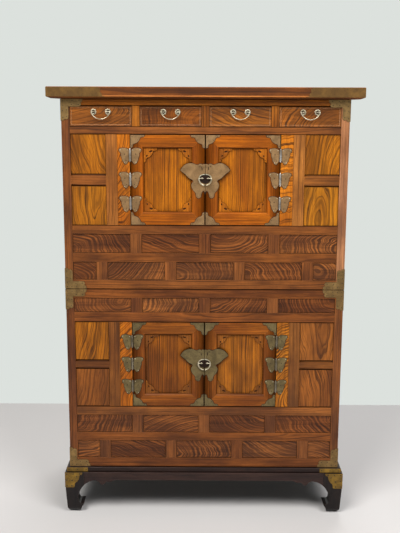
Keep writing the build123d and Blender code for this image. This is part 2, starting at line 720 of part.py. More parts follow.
def hinge_leaf(s, z, knuckles, x):
    """A butterfly's wing with its knuckles. s is 1 where the wing spreads towards +X from the pin. One
    knuckle alone is bored for the pin, and two carry it between them."""
    top, w = HINGE_H / 2, HINGE_HALF_W
    inner = [(WING_IN, KNUCKLE_LOW)]
    for z0, z1 in knuckles:
        inner += [(WING_IN, z0), (HINGE_GAP / 2, z0), (HINGE_GAP / 2, z1), (WING_IN, z1)]
    inner.append((WING_IN, KNUCKLE_LOW + KNUCKLE_H))
    wing = [(22, top), (w - 2, top - 2), (w, top - 7), (w - 6, top - 16), (w - 9, top - 30)]
    wing += [(w - 14, 6 - top), (w - 17.5, 1 - top), (w - 22, -top), (w - 24.5, 6 - top)]
    with BuildPart() as leaf:
        with BuildSketch(facing_front(DOOR_FACE, x, z)):
            with BuildLine():
                Polyline(*flipped(dict.fromkeys(inner + wing), s), close=True)
            make_face()
        extrude(amount=PLATE_T)
        for z0, z1 in knuckles:
            add(hinge_rod(x, z + z0, z + z1, KNUCKLE_R))
        if len(knuckles) == 1:
            low, high = knuckles[0]
            add(hinge_rod(x, z + low, z + high, PIN_BORE_R), mode=Mode.SUBTRACT)
        else:
            add(hinge_rod(x, z + knuckles[0][1], z + knuckles[1][0], PIN_R))
    return leaf.part


def hinges(tier):
    """Wings on the doors with one knuckle each, and wings on the jambs with two and the pin."""
    third = KNUCKLE_H / 3
    middle = [(KNUCKLE_LOW + third + KNUCKLE_GAP, KNUCKLE_LOW + 2 * third - KNUCKLE_GAP)]
    ends = [(KNUCKLE_LOW, KNUCKLE_LOW + third), (KNUCKLE_LOW + 2 * third, KNUCKLE_LOW + KNUCKLE_H)]
    fixed = []
    for right in (False, True):
        s = 1 if right else -1
        x = s * HINGE_X
        leaves = [hinge_leaf(-s, z, middle, x) for z in hinge_levels(tier)]
        save_group(f"{door_name(tier, right)}_hinges", leaves)
        fixed += [hinge_leaf(s, z, ends, x) for z in hinge_levels(tier)]
    save_group(f"{tier.name}_jamb_hinges", fixed)


# ---- handles and door plates ----
def rod_along_x(x0, x1, y, z, radius):
    with BuildPart() as rod:
        with BuildSketch(facing_side(x0, y, z)):
            RegularPolygon(radius, ROD_SIDES)
        extrude(amount=x1 - x0)
    return rod.part


def eye_post(x, face, z, eye_out):
    """An upright eye that stands out from a face, for a handle's end to turn in."""
    with BuildPart() as post:
        with BuildSketch(facing_side(x - EYE_POST_T / 2, face - eye_out, z)):
            RegularPolygon(EYE_POST_R, ROD_SIDES, major_radius=False, rotation=180 / ROD_SIDES)
            with Locations((eye_out / 2, 0)):
                Rectangle(eye_out, 2 * EYE_POST_R)
            RegularPolygon(EYE_R, ROD_SIDES, major_radius=False, mode=Mode.SUBTRACT)
        extrude(amount=EYE_POST_T)
    return post.part


def rod_end(middle, s, y, z, post_x, half):
    """One end of a handle: the thin stretch that turns in its eye, and the thicker one outside it."""
    thin = (post_x - EYE_POST_T / 2 - ROD_END_OUT, half)
    thick = (post_x + EYE_POST_T / 2 + ROD_END_PLAY, half + KNOB_R)
    with BuildPart() as end:
        for radius, span in ((TRUNNION_R, thin), (KNOB_R, thick)):
            x0, x1 = sorted(middle + s * reach for reach in span)
            add(rod_along_x(x0, x1, y, z, radius))
    return end.part


def bent_rod(y, z, middle, half, drop, turn, chords, radius):
    """A handle's hanging rod, bent on the circle through (-half, 0) and (0, -drop) below its pivots.
    It runs between the two angles of turn, which are counted from straight down."""
    circle = (half * half + drop * drop) / (2 * drop)
    first, last = turn
    angles = [first + (last - first) * i / chords for i in range(chords + 1)]
    with BuildPart() as rod:
        with BuildLine(facing_front(y, middle, z)) as path:
            Polyline(*[(circle * sin(a), circle * (1 - cos(a)) - drop) for a in angles])
        with BuildSketch(Plane(path.line @ 0, z_dir=path.line % 0)):
            RegularPolygon(radius, ROD_SIDES)
        sweep(path=path.line, transition=Transition.RIGHT)
    return rod.part


def bend_angle(half, drop):
    """Where a handle's rod reaches its pivots, as an angle from straight down."""
    circle = (half * half + drop * drop) / (2 * drop)
    return acos(1 - drop / circle)


def lock_half(s, z):
    """Half of a butterfly lock plate with the raised rim over the pulls and the eye for one pull."""
    edge = MEETING_GAP / 2
    head = [(edge, -41), (edge, 40), (7, 38), (13, 40), (26, 46), (44, 47), (60, 41.5), (70, 34)]
    side = [(72, 28), (67, 19), (56, 4), (41, -5), (43.5, -22), (39, -36), (30, -45)]
    tail = [(26, -55), (20, -60), (15, -54), (13, -46), (9, -38)]
    rim, inner, low = RIM_R, RIM_R - RIM_W, RIM_TOP - RIM_W
    with BuildPart() as plate:
        with BuildSketch(facing_front(DOOR_FACE, 0, z)):
            with BuildLine():
                Polyline(*flipped(head + side + tail, s), close=True)
            make_face()
        extrude(amount=PLATE_T)
        with BuildSketch(facing_front(DOOR_FACE, 0, z)):
            with BuildLine():
                ends = [(edge, RIM_TOP), (edge, low)]
                outer = [(rim * x, RIM_TOP * up) for x, up in RIM_BEND]
                inside = [(inner * x, low * up) for x, up in reversed(RIM_BEND)]
                Polyline(*flipped(outer + ends + inside, s), close=True)
            make_face()
        extrude(amount=PLATE_T + RIM_H)
        add(eye_post(s * PULL_EYE_X, DOOR_FACE - PLATE_T / 2, z, PULL_EYE_OUT + PLATE_T / 2))
    return plate.part


def door_plates(tier, right):
    """A door's four lobed corner plates and its half of the lock plate."""
    x0, x1 = grown(door_span(right), -PLATE_IN)
    z0, z1 = grown(door_levels(tier), -PLATE_IN)
    lobes = [(0, 0), *triangle_lobes(CORNER_W, CORNER_H)]
    plates = [lock_half(1 if right else -1, lock_level(tier))]
    for x, sx in ((x0, 1), (x1, -1)):
        for z, sz in ((z0, 1), (z1, -1)):
            with BuildPart() as corner:
                with BuildSketch(facing_front(DOOR_FACE, x, z)):
                    with BuildLine():
                        Polyline(*flipped(lobes, sx, sz), close=True)
                    make_face()
                extrude(amount=PLATE_T)
            plates.append(corner.part)
    save_group(f"{door_name(tier, right)}_plates", plates)


def lock_level(tier):
    return sum(band_of(tier, "doors")) / 2 + LOCK_UP


def pull(tier, right):
    """Half of a drop ring. Its end turns in the eye, and its arm curves down to the meeting edge."""
    s = 1 if right else -1
    y, z = DOOR_FACE - PLATE_T - PULL_EYE_OUT, lock_level(tier)
    circle = (PULL_HALF_W**2 + PULL_DROP**2) / (2 * PULL_DROP)
    turn = (s * bend_angle(PULL_HALF_W, PULL_DROP), s * asin((MEETING_GAP / 2 + PULL_R) / circle))
    with BuildPart() as half:
        add(bent_rod(y, z, 0, PULL_HALF_W, PULL_DROP, turn, PULL_CHORDS, PULL_R))
        add(rod_end(0, s, y, z, PULL_EYE_X, PULL_HALF_W))
    save(half.part, f"{door_name(tier, right)}_pull")


# ---- drawers ----
def drawer(number):
    """A small drawer: a beaded front, lapped sides, a grooved-in bottom and a back."""
    x0 = -IN_X + number * DRAWER_PITCH + DRAWER_SIDE_GAP
    x1 = x0 + DRAWER_PITCH - DIVIDER_W - 2 * DRAWER_SIDE_GAP
    z0, z1 = band_of(UPPER, "drawers")
    z0, z1 = z0 + DRAWER_RUN_GAP, z1 - DRAWER_TOP_GAP
    y0 = FRONT + DRAWER_SET
    field = y0 + DRAWER_BEAD_H
    y1 = y0 + DRAWER_FRONT_T
    side_y = y1 - DRAWER_LAP
    end_y = BACK - BACK_RAIL_T - DRAWER_BACK_GAP
    wall_top = z1 - DRAWER_WALL_DROP
    inner = grown((x0, x1), -DRAWER_SIDE_T)
    bottom = (z0 + DRAWER_BOTTOM_UP, z0 + DRAWER_BOTTOM_UP + DRAWER_BOTTOM_T)
    sides = [(x0, inner[0]), (inner[1], x1)]
    with BuildPart() as front:
        blocks([((x0, x1), (y0, y1), (z0, z1))])
        cuts = [(grown((x0, x1), -DRAWER_BEAD_W), (y0, field), grown((z0, z1), -DRAWER_BEAD_W))]
        cuts += [(grown(side, FIT), (side_y - FIT, y1), (z0, wall_top + FIT)) for side in sides]
        cuts.append((inner, (side_y - FIT, y1), grown(bottom, FIT)))
        blocks(cuts, Mode.SUBTRACT)
    name = f"drawer_{number + 1}"
    save(front.part, f"{name}_front")
    with BuildPart() as walls:
        blocks([(side, (side_y, end_y), (z0, wall_top)) for side in sides])
        blocks([(grown(inner, DRAWER_GROOVE + FIT), (side_y, end_y), grown(bottom, FIT))], Mode.SUBTRACT)
    with BuildPart() as floor:
        blocks([(grown(inner, DRAWER_GROOVE), (side_y, end_y - FIT), bottom)])
    with BuildPart() as back:
        blocks([(inner, (end_y - DRAWER_SIDE_T, end_y), (bottom[1], wall_top))])
    save_group(f"{name}_box", [walls.part, floor.part, back.part])
    drawer_handle(name, (x0 + x1) / 2, field, (z0 + z1) / 2 + BAIL_POST_UP)


def drawer_handle(name, x, face, z):
    """Two eye posts on rosettes, and the bail that swings between them."""
    with BuildPart() as posts:
        for post_x in (x - BAIL_POST_X, x + BAIL_POST_X):
            with BuildSketch(facing_front(face, post_x, z)):
                RegularPolygon(ROSETTE_R, ROSETTE_PETALS)
            extrude(amount=ROSETTE_T)
            add(eye_post(post_x, face, z, BAIL_EYE_OUT))
    save(posts.part, f"{name}_handle_posts")
    y = face - BAIL_EYE_OUT
    end = bend_angle(BAIL_HALF_W, BAIL_DROP)
    with BuildPart() as bail:
        add(bent_rod(y, z, x, BAIL_HALF_W, BAIL_DROP, (-end, end), BAIL_CHORDS, BAIL_R))
        for s in (-1, 1):
            add(rod_end(x, s, y, z, BAIL_POST_X, BAIL_HALF_W))
    save(bail.part, f"{name}_bail")


# ---- brass on the corners ----
def lobed_end(length, width):
    """The scalloped end of an arm, from its lower edge to its upper one."""
    return [
        (length, 0),
        (length, 0.34 * width),
        (length - 4, 0.5 * width),
        (length - 4, 0.78 * width),
        (length - 11, width),
    ]


def bent_plate(outline, side, corner_y, corner_z, up, side_reach):
    """A plate bent round an upright corner. The outline is drawn from the corner inward."""
    s = 1 if side > 0 else -1
    with BuildPart() as plate:
        with BuildSketch(facing_front(corner_y, side, corner_z)):
            with BuildLine():
                outline(-s, up, -PLATE_T, 0)
            make_face()
        extrude(amount=PLATE_T)
        with BuildSketch(facing_side(side, corner_y, corner_z)):
            with BuildLine():
                outline(1, up, 0, side_reach)
            make_face()
        extrude(amount=s * PLATE_T)
    return plate.part


def angle_outline(sx, sy, start, shorter):
    """An L with a lobed end on each arm."""
    end = lobed_end(ARM_L - shorter, ARM_T)
    corners = [(start, 0), *end, (ARM_T, ARM_T), *(point[::-1] for point in reversed(end)), (start, ARM_L)]
    Polyline(*flipped(dict.fromkeys(corners), sx, sy), close=True)


def tier_corner_plates(tier):
    z0, z1 = grown(ends_of(tier), -PLATE_IN)
    plates = []
    for side in (-SIDE, SIDE):
        plates.append(bent_plate(angle_outline, side, FRONT, z0, 1, 0))
        plates.append(bent_plate(angle_outline, side, FRONT, z1, -1, 0))
    save_group(f"{tier.name}_corner_plates", plates)


def slab_outline(sx, sy, start, shorter):
    """A long band with a lobed end, as high as the top board's square edge."""
    height = SLAB_FACE - SLAB_ROUND - PLATE_IN
    end = lobed_end(SLAB_ARM - shorter, height)
    Polyline(*flipped([(start, height), (start, 0), *end], sx, sy), close=True)


def leg_plate_outline(sx, sy, start, shorter):
    """A scalloped plate that hangs over the top of a leg."""
    lobes = triangle_lobes(LEG_PLATE_W - LEG_PLATE_FOOT, LEG_PLATE_H)
    lobes = [(LEG_PLATE_FOOT + u, v) for u, v in lobes]
    Polyline(*flipped([(start, LEG_PLATE_H), (start, 0), *lobes], sx, sy), close=True)


def strip_outline(sx, sy, start, shorter):
    """A plain band on the stand's top frame."""
    corners = [(start, 0), (STRIP_L, 0), (STRIP_L, STRIP_H), (start, STRIP_H)]
    Polyline(*flipped(corners, sx, sy), close=True)


def corner_brass():
    """Bands on the front corners of the top board and of the stand, and plates on the front legs."""
    board, low = [], []
    shorter = SLAB_ARM - SLAB_SIDE_ARM
    for s in (-1, 1):
        z = SLAB_Z + SLAB_BEVEL_H + PLATE_IN
        board.append(bent_plate(slab_outline, s * SLAB_W / 2, SLAB_Y - SLAB_D / 2, z, 1, shorter))
        frame_x, frame_y = LEG_X - BASE_RAIL_IN, LEG_Y + BASE_RAIL_IN
        z = BASE_RAIL_Z + (BASE_RAIL_H - STRIP_H) / 2
        low.append(bent_plate(strip_outline, s * frame_x, frame_y, z, 1, 0))
        low.append(bent_plate(leg_plate_outline, s * LEG_X, LEG_Y, BASE_RAIL_Z - PLATE_IN, -1, 0))
    save_group("top_board_brass", board)
    save_group("stand_brass", low)


os.makedirs("parts", exist_ok=True)
stand()
for tier in (LOWER, UPPER):
    tier_posts(tier)
    tier_rails(tier)
    tier_uprights(tier)
    tier_panels(tier)
    tier_inner_boards(tier)
    hinges(tier)
    tier_corner_plates(tier)
    for right in (False, True):
        door(tier, right)
        door_plates(tier, right)
        pull(tier, right)
for number in range(DRAWERS):
    drawer(number)
top_board()
corner_brass()
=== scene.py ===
import json
import math
from collections import namedtuple
from random import Random

import bmesh
import bpy
from mathutils import Matrix, Vector

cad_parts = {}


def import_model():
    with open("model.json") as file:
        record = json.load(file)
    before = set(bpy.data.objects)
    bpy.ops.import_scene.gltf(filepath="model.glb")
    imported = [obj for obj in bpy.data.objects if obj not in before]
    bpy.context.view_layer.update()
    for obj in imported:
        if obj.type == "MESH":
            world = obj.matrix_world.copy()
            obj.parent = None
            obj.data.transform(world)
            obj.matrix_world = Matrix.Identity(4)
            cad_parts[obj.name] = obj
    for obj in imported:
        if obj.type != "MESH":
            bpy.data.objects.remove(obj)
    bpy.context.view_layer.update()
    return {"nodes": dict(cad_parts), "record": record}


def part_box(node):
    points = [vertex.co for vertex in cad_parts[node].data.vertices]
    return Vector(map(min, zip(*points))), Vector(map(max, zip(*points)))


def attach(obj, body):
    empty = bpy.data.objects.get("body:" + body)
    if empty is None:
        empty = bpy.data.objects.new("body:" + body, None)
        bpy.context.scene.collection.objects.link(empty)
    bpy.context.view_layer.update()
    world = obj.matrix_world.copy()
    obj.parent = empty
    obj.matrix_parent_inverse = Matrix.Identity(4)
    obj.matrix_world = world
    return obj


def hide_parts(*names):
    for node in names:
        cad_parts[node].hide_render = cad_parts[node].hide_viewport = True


# The looks of a two-tier chest: boards with softened edges and grain of their own, aged brass with
# nails, and the studio that it stands in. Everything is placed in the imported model's frame. The studio,
# the camera and every value with MM are in metres, outlines and the sizes beside them in millimetres.

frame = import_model()
MM = 0.001

# ---- camera, in the photograph's 400 x 533 frame ----
PHOTO_H = 533
FOCAL_PX = 825.0  # focal length in the photograph's pixels
SENSOR = 36.0
CAMERA_AT = (-0.0079, -2.7555, 1.3205)
CAMERA_PITCH = 10.845  # degrees below level
CAMERA_YAW = 0.159
CAMERA_ROLL = 0.222

# ---- studio ----
WALL_AT = 0.81  # the wall stands this far behind the middle of the chest
WALL_H = 5.0
FLOOR_SIDE = 6.0
FADE_FROM = 2.2  # the floor fades into the background between these radii
FADE_TO = 4.2
WALL_COLOR = (220, 225, 221)
FLOOR_COLOR = (208, 205, 203)
WORLD_LIGHT = 0.12
WORLD_COLOR = (0.93, 0.97, 1, 1)
LAMP_AIM = 0.75  # height that the front lamps point at
LAMPS = [  # name, place, aim, size, power, colour
    ("key", (-1.4, -2.3, 3.7), (0, 0, LAMP_AIM), (1.8, 1.8), 145, (1, 0.99, 0.97)),
    ("fill", (1.7, -2.3, 3.5), (0, 0, LAMP_AIM), (2.0, 2.0), 105, (0.99, 0.99, 1)),
    ("back", (0.6, 2.4, 3.0), (0, 0, 0.8), (2.0, 1.4), 60, (1, 1, 1)),
]

# ---- sizes of the boards ----
SOFT_EDGE = 0.9 * MM  # rounding of the boards' visible edges
THIN_EDGE = 0.6 * MM  # of rails and uprights
ROLLED_EDGE = 6.5 * MM  # of the cross pieces, which are moulded above and below
SEAM = 2.8 * MM  # rounding of an edge at a door, a drawer or the other tier
SEAM_SHADE = 0.8 * SEAM  # a board has a painted shadow line this near to a seam
DEEP = 2.4 * MM  # a board's side is fully dark with painted shade this far behind its face
CROSS_DEEP = 0.5 * MM  # the same for the cross pieces
BEAD_R = 1.8 * MM  # moulding on the top board's front
BEAD_IN = 1.2 * MM
FACE_NEAR = 0.3 * MM  # an edge this near to a node's outer face counts as lying on it

# ---- sizes of the brass ----
SHEET = 1.2 * MM
THIN_SHEET = 0.75 * MM  # of bands, thin enough that their nails stay inside the chest's overall size
SHEET_EDGE = 0.35 * MM
EDGE_SHARE = 0.3  # the rounding of a thin sheet's edge, as a share of its thickness
NAIL_R = 1.5 * MM
NAIL_H = 0.7 * MM
FILM_T = 0.2 * MM  # film of old wax and painted shadow round a plate
FILM_OUT = 1.4 * MM  # how far the film reaches past a plate
BENT_FILM_OUT = 0.4 * MM  # past a plate that is bent round a corner
FILM_IN = 1.6  # the film starts this far inside a plate's straight edges
ROD_TIP = 0.6  # how far a rod's tip stands out, in its radii

# ---- wood: the scales of its noises, along the grain and across it ----
BEND = (4, 11, 11)
FINE_BEND = (18, 60, 60)
RING_DEPTH = (5, 25, 25)
STREAK = (7, 170, 170)
FIBRE = (40, 1300, 1300)
PORE = (90, 2300, 2300)
CLOUD = (6, 16, 16)
AGE = (5, 18, 18)
EDGE_PATCH_SCALE = (30, 60, 60)

# ---- wood: its colour ----
AGED = (0.5, 0.55, 0.8)  # what is left of a colour's channels in an old dark patch
TONES = ((0.84, 0.32), (0.77, 0.46), (0.72, 0.56))  # a channel's share at tone 0, and what tone 1 adds
WORN_AND_HIGHLIT = 1.5  # how much lighter an edge is, by wear and a painted highlight
SHADE_STRENGTH = 0.85  # how dark the painted shade is in recesses and at seams
SHADE_LEFT = 0.16  # what painted shade leaves of a colour
SHINE = 0.17  # specular level
BOLD_LINES = [(0.0, 0.5), (0.14, 0.0), (0.36, 0.1), (0.6, 1.0), (0.9, 1.0), (1.0, 0.5)]
DARK_LINES = [(0.0, 0.3), (0.1, 0.0), (0.5, 0.12), (0.86, 1.0), (1.0, 0.3)]
LIGHT_LINES = [(0.0, 0.0), (0.16, 0.1), (0.4, 0.8), (0.8, 1.0), (1.0, 0.0)]

# ---- brass: the scales of its noises, its lightened edges (wear and painted highlight) and the painted shade in its corners ----
PATINA = (38, 38, 38)
SPECKS = (260, 260, 260)
HAMMER = (120, 120, 120)
BRASS_RIM = 0.6 * MM
BRASS_WEAR_AND_HIGHLIGHT = 1.2
BRASS_REACH = 3 * MM
BRASS_CORNER_SHADE = 0.54


# ---- shader helpers ----
def linear(color):
    """A colour as seen, with parts up to 255, as the shaders count it."""
    return tuple(((part / 255 + 0.055) / 1.055) ** 2.4 for part in color)


def new_material(name):
    material = bpy.data.materials.new(name)
    material.use_nodes = True
    material.node_tree.nodes.clear()
    return material


def node(tree, kind, inputs=None, **settings):
    """A shader node with its inputs linked or set. Returns the node."""
    made = tree.nodes.new(f"ShaderNode{kind}")
    for key, value in settings.items():
        setattr(made, key, value)
    for key, value in (inputs or {}).items():
        socket = made.inputs[key]
        if isinstance(value, bpy.types.NodeSocket):
            tree.links.new(value, socket)
        else:
            socket.default_value = value
    return made


def calc(tree, operation, a, b=0.0, clamp=False):
    return node(tree, "Math", {0: a, 1: b}, operation=operation, use_clamp=clamp).outputs[0]


def times(tree, a, b, clamp=False):
    return calc(tree, "MULTIPLY", a, b, clamp)


def plus(tree, a, b):
    return calc(tree, "ADD", a, b)


def vector(tree, operation, a, b=(0, 0, 0)):
    made = node(tree, "VectorMath", {0: a, 1: b}, operation=operation)
    return made.outputs["Value" if operation in ("LENGTH", "DOT_PRODUCT") else "Vector"]


def attribute(tree, name, output="Fac"):
    return node(tree, "Attribute", attribute_name=name).outputs[output]


def noise(tree, place, scale, detail=2.0, roughness=0.5, distortion=0.0, output="Fac"):
    """Noise with its own scale along each axis of the place."""
    stretched = vector(tree, "MULTIPLY", place, scale)
    inputs = {"Vector": stretched, "Scale": 1.0, "Detail": detail, "Roughness": roughness,
              "Distortion": distortion}
    return node(tree, "TexNoise", inputs).outputs[output]


def ramp(tree, value, stops):
    """A number looked up between (place, number) stops."""
    made = node(tree, "ValToRGB", {"Fac": value})
    elements = made.color_ramp.elements
    elements[0].position, elements[-1].position = stops[0][0], stops[-1][0]
    for place, _ in stops[1:-1]:
        elements.new(place)
    for element, (_, level) in zip(elements, stops):
        element.color = (level, level, level, 1)
    return made.outputs["Color"]


def blend(tree, factor, a, b, kind="MIX"):
    made = node(tree, "Mix", {"Factor": factor}, data_type="RGBA", blend_type=kind)
    for key, value in ((6, a), (7, b)):
        if isinstance(value, bpy.types.NodeSocket):
            tree.links.new(value, made.inputs[key])
        else:
            made.inputs[key].default_value = (*value, 1)
    return made.outputs[2]


def edge_nearness(tree, radius):
    """How far a point lies on an edge: 0 on a flat, towards 1 where the surface turns."""
    bevel = node(tree, "Bevel", {"Radius": radius}, samples=4).outputs[0]
    true = node(tree, "NewGeometry").outputs["Normal"]
    return calc(tree, "SUBTRACT", 1.0, vector(tree, "DOT_PRODUCT", bevel, true), clamp=True)


def crevices(tree, reach):
    """1 deep in a corner, 0 in the open."""
    ao = node(tree, "AmbientOcclusion", {"Distance": reach}, samples=6, only_local=False).outputs["AO"]
    return calc(tree, "SUBTRACT", 1.0, ao, clamp=True)


def surface(tree, color, normal=None, **inputs):
    """The Principled surface of a material, joined to its output."""
    values = {key.replace("_", " "): value for key, value in inputs.items()}
    made = node(tree, "BsdfPrincipled", {"Base Color": color, **values})
    if normal is not None:
        tree.links.new(normal, made.inputs["Normal"])
    out = node(tree, "OutputMaterial")
    tree.links.new(made.outputs[0], out.inputs["Surface"])


def wandering(tree, grain, scale, detail, reach):
    """A shift to and fro along the board, by up to half the reach."""
    shift = vector(tree, "SUBTRACT", noise(tree, grain, scale, detail, output="Color"), (0.5, 0.5, 0.5))
    return vector(tree, "MULTIPLY", shift, (reach, reach, reach))


def growth_rings(tree, grain, ring, warp, lines):
    """The years' lines, as strong as the lines say across each year. Years wander and are unevenly wide."""
    place = attribute(tree, "rings", "Vector")
    place = vector(tree, "ADD", place, wandering(tree, grain, BEND, 2, 2 * warp))
    place = vector(tree, "ADD", place, wandering(tree, grain, FINE_BEND, 1, 0.25 * warp))
    years = calc(tree, "DIVIDE", vector(tree, "LENGTH", place), ring)
    inputs = {"W": times(tree, years, 0.5), "Detail": 0.0}
    spread = node(tree, "TexNoise", inputs, noise_dimensions="1D").outputs["Fac"]
    years = plus(tree, years, times(tree, spread, 1.3))
    line = ramp(tree, calc(tree, "FRACT", years), lines)
    depth = noise(tree, grain, RING_DEPTH, 2)
    return times(tree, line, plus(tree, times(tree, depth, 1.4), 0.2), clamp=True)


def toned(tree, color, shade):
    """A colour in a shade and in its board's own tone, which goes from a dark red to a light yellow."""
    tone = attribute(tree, "tone")
    parts = {}
    for channel, (least, span) in enumerate(TONES):
        parts[channel] = times(tree, shade, plus(tree, times(tree, tone, span), least))
    return blend(tree, 1.0, color, node(tree, "CombineColor", parts).outputs[0], "MULTIPLY")


def wood(name, light, middle, dark, ring, contrast, warp=14, lines=DARK_LINES, gloss=0.4, coat=0.05,
         corner_shade=0.55, wear_and_highlight=0.5, wear_and_highlight_color=None, patchy=1.0, rim=2, reach=7):
    """Oiled wood with growth rings, fibres and pores, read from each board's own coordinates."""
    material = new_material(name)
    tree = material.node_tree
    light, middle, dark = linear(light), linear(middle), linear(dark)
    worn_and_highlit = linear(wear_and_highlight_color) if wear_and_highlight_color else tuple(min(1, WORN_AND_HIGHLIT * c) for c in light)
    grain = attribute(tree, "grain", "Vector")
    line = growth_rings(tree, grain, ring * MM, warp * MM, lines)
    streak = noise(tree, grain, STREAK, 3, 0.6)
    fibre = noise(tree, grain, FIBRE, 2, 0.6)
    cloud = ramp(tree, noise(tree, grain, CLOUD, 3, 0.55), [(0.36, 0.0), (0.64, 1.0)])
    color = blend(tree, cloud, light, middle)
    color = blend(tree, times(tree, line, contrast), color, dark)
    age = ramp(tree, noise(tree, grain, AGE, 3, 0.6), [(0.48, 0.0), (0.66, 0.6)])
    color = blend(tree, age, color, tuple(share * c for share, c in zip(AGED, middle)))
    shade = plus(tree, times(tree, streak, 1.4), 0.3)
    shade = times(tree, shade, plus(tree, times(tree, fibre, 0.3), 0.85))
    color = toned(tree, color, shade)
    pores = ramp(tree, noise(tree, grain, PORE, 0), [(0.62, 0.0), (0.7, 1.0)])
    color = blend(tree, times(tree, pores, 0.35), color, dark)
    # Edges are lightened in patches: partly wear, partly a painted highlight.
    edge = times(tree, edge_nearness(tree, rim * MM), wear_and_highlight * 4, clamp=True)
    edge_patches = ramp(tree, noise(tree, grain, EDGE_PATCH_SCALE, 2), [(0.3, 1 - 0.9 * patchy), (0.6, 1.0)])
    color = blend(tree, times(tree, edge, edge_patches), color, worn_and_highlit)
    # Painted shade: the colour darkens where ambient occlusion finds corners and recesses, and at the
    # recesses and seams marked on the vertices.
    painted_shade = times(tree, crevices(tree, reach * MM), corner_shade * 1.8, clamp=True)
    painted_shade = calc(tree, "MAXIMUM", painted_shade, times(tree, attribute(tree, "shaded"), SHADE_STRENGTH))
    color = blend(tree, painted_shade, color, tuple(SHADE_LEFT * c for c in middle))
    height = calc(tree, "SUBTRACT", times(tree, fibre, 0.5), times(tree, line, 0.5))
    bump = node(tree, "Bump", {"Height": height, "Strength": 0.3, "Distance": 0.3 * MM})
    rough = plus(tree, times(tree, streak, 0.16), gloss - 0.08)
    # Shine and coat fade out under the painted shade.
    clean = calc(tree, "SUBTRACT", 1.0, painted_shade)
    surface(tree, color, bump.outputs[0], Roughness=rough, Coat_Weight=times(tree, clean, coat),
            Coat_Roughness=0.2, Specular_IOR_Level=times(tree, clean, SHINE))
    return material


def brass(name, clean, aged, spots, metal=0.65, rough=0.44, patina=0.55):
    """Brass with cloudy patina, dark specks, edges lightened by wear and a painted highlight, and painted
    shade in its corners.
    """
    material = new_material(name)
    tree = material.node_tree
    clean, aged, spots = linear(clean), linear(aged), linear(spots)
    place = node(tree, "TexCoord").outputs["Object"]
    cloud = noise(tree, place, PATINA, 4, 0.6, 0.4)
    fine = noise(tree, place, SPECKS, 3, 0.6)
    color = blend(tree, ramp(tree, cloud, [(0.5 - patina / 2, 0.0), (0.78 - patina / 4, 1.0)]), clean, aged)
    speck = ramp(tree, fine, [(0.56, 0.0), (0.7, 1.0)])
    color = blend(tree, times(tree, speck, 0.45), color, spots)
    # Edges are lightened: partly wear, partly a painted highlight.
    edge = times(tree, edge_nearness(tree, BRASS_RIM), BRASS_WEAR_AND_HIGHLIGHT, clamp=True)
    color = blend(tree, edge, color, tuple(min(1, 1.7 * c + 0.04) for c in clean))
    # Painted shade: darker where ambient occlusion finds corners.
    painted_shade = times(tree, crevices(tree, BRASS_REACH), BRASS_CORNER_SHADE, clamp=True)
    color = blend(tree, painted_shade, color, tuple(0.3 * c for c in spots))
    hammered = noise(tree, place, HAMMER, 2)
    height = plus(tree, hammered, times(tree, fine, 0.4))
    bump = node(tree, "Bump", {"Height": height, "Strength": 0.2, "Distance": 0.4 * MM})
    roughness = plus(tree, times(tree, cloud, 0.25), rough - 0.12)
    surface(tree, color, bump.outputs[0], Metallic=metal, Roughness=roughness)
    return material


def flat_film(name, color):
    """A dull film with no shine, for old wax with painted shadow and for painted shadow alone."""
    material = new_material(name)
    surface(material.node_tree, (*linear(color), 1), Roughness=0.7, Specular_IOR_Level=0.2)
    return material


# ---- boards, sheets, rods and turned parts ----
def solids_of(name):
    """A CAD node's solids as lists of faces. The faces come solid by solid, and a solid ends where every
    edge has met its other side."""
    mesh = frame["nodes"][name].data
    found, faces, unmet = [], [], set()
    for polygon in mesh.polygons:
        corners = [tuple(round(c, 6) for c in mesh.vertices[i].co) for i in polygon.vertices]
        faces.append(corners)
        for a, b in zip(corners, corners[1:] + corners[:1]):
            if (b, a) in unmet:
                unmet.remove((b, a))
            else:
                unmet.add((a, b))
        if not unmet:
            found.append(faces)
            faces = []
    return found


def corners_of(faces):
    points = [Vector(corner) for face in faces for corner in face]
    return [Vector(pick(p[i] for p in points) for i in range(3)) for pick in (min, max)]


def solid_mesh(faces):
    """One solid as a bmesh, with the flat stretches of its surface made whole."""
    bm = bmesh.new()
    verts = {}
    for face in faces:
        for corner in face:
            if corner not in verts:
                verts[corner] = bm.verts.new(corner)
        if len(set(face)) > 2:
            bm.faces.new([verts[corner] for corner in face])
    bmesh.ops.dissolve_limit(bm, angle_limit=math.radians(1), verts=bm.verts, edges=bm.edges)
    bm.normal_update()
    return bm


def soften(bm, planes, width, segments, along=None):
    """Rounds the sharp edges that lie on the planes, each given as (axis, place), and along an axis alone
    where one is given."""
    picked = []
    for edge in bm.edges:
        if len(edge.link_faces) != 2 or edge.calc_face_angle() < math.radians(30):
            continue
        way = edge.verts[1].co - edge.verts[0].co
        if along is not None and abs(way[along]) < 0.99 * way.length:
            continue
        for axis, place in planes:
            if all(abs(vert.co[axis] - place) < FACE_NEAR for vert in edge.verts):
                picked.append(edge)
                break
    if picked:
        bmesh.ops.bevel(bm, geom=picked, offset=width, segments=segments, profile=0.5, affect="EDGES",
                        clamp_overlap=False)


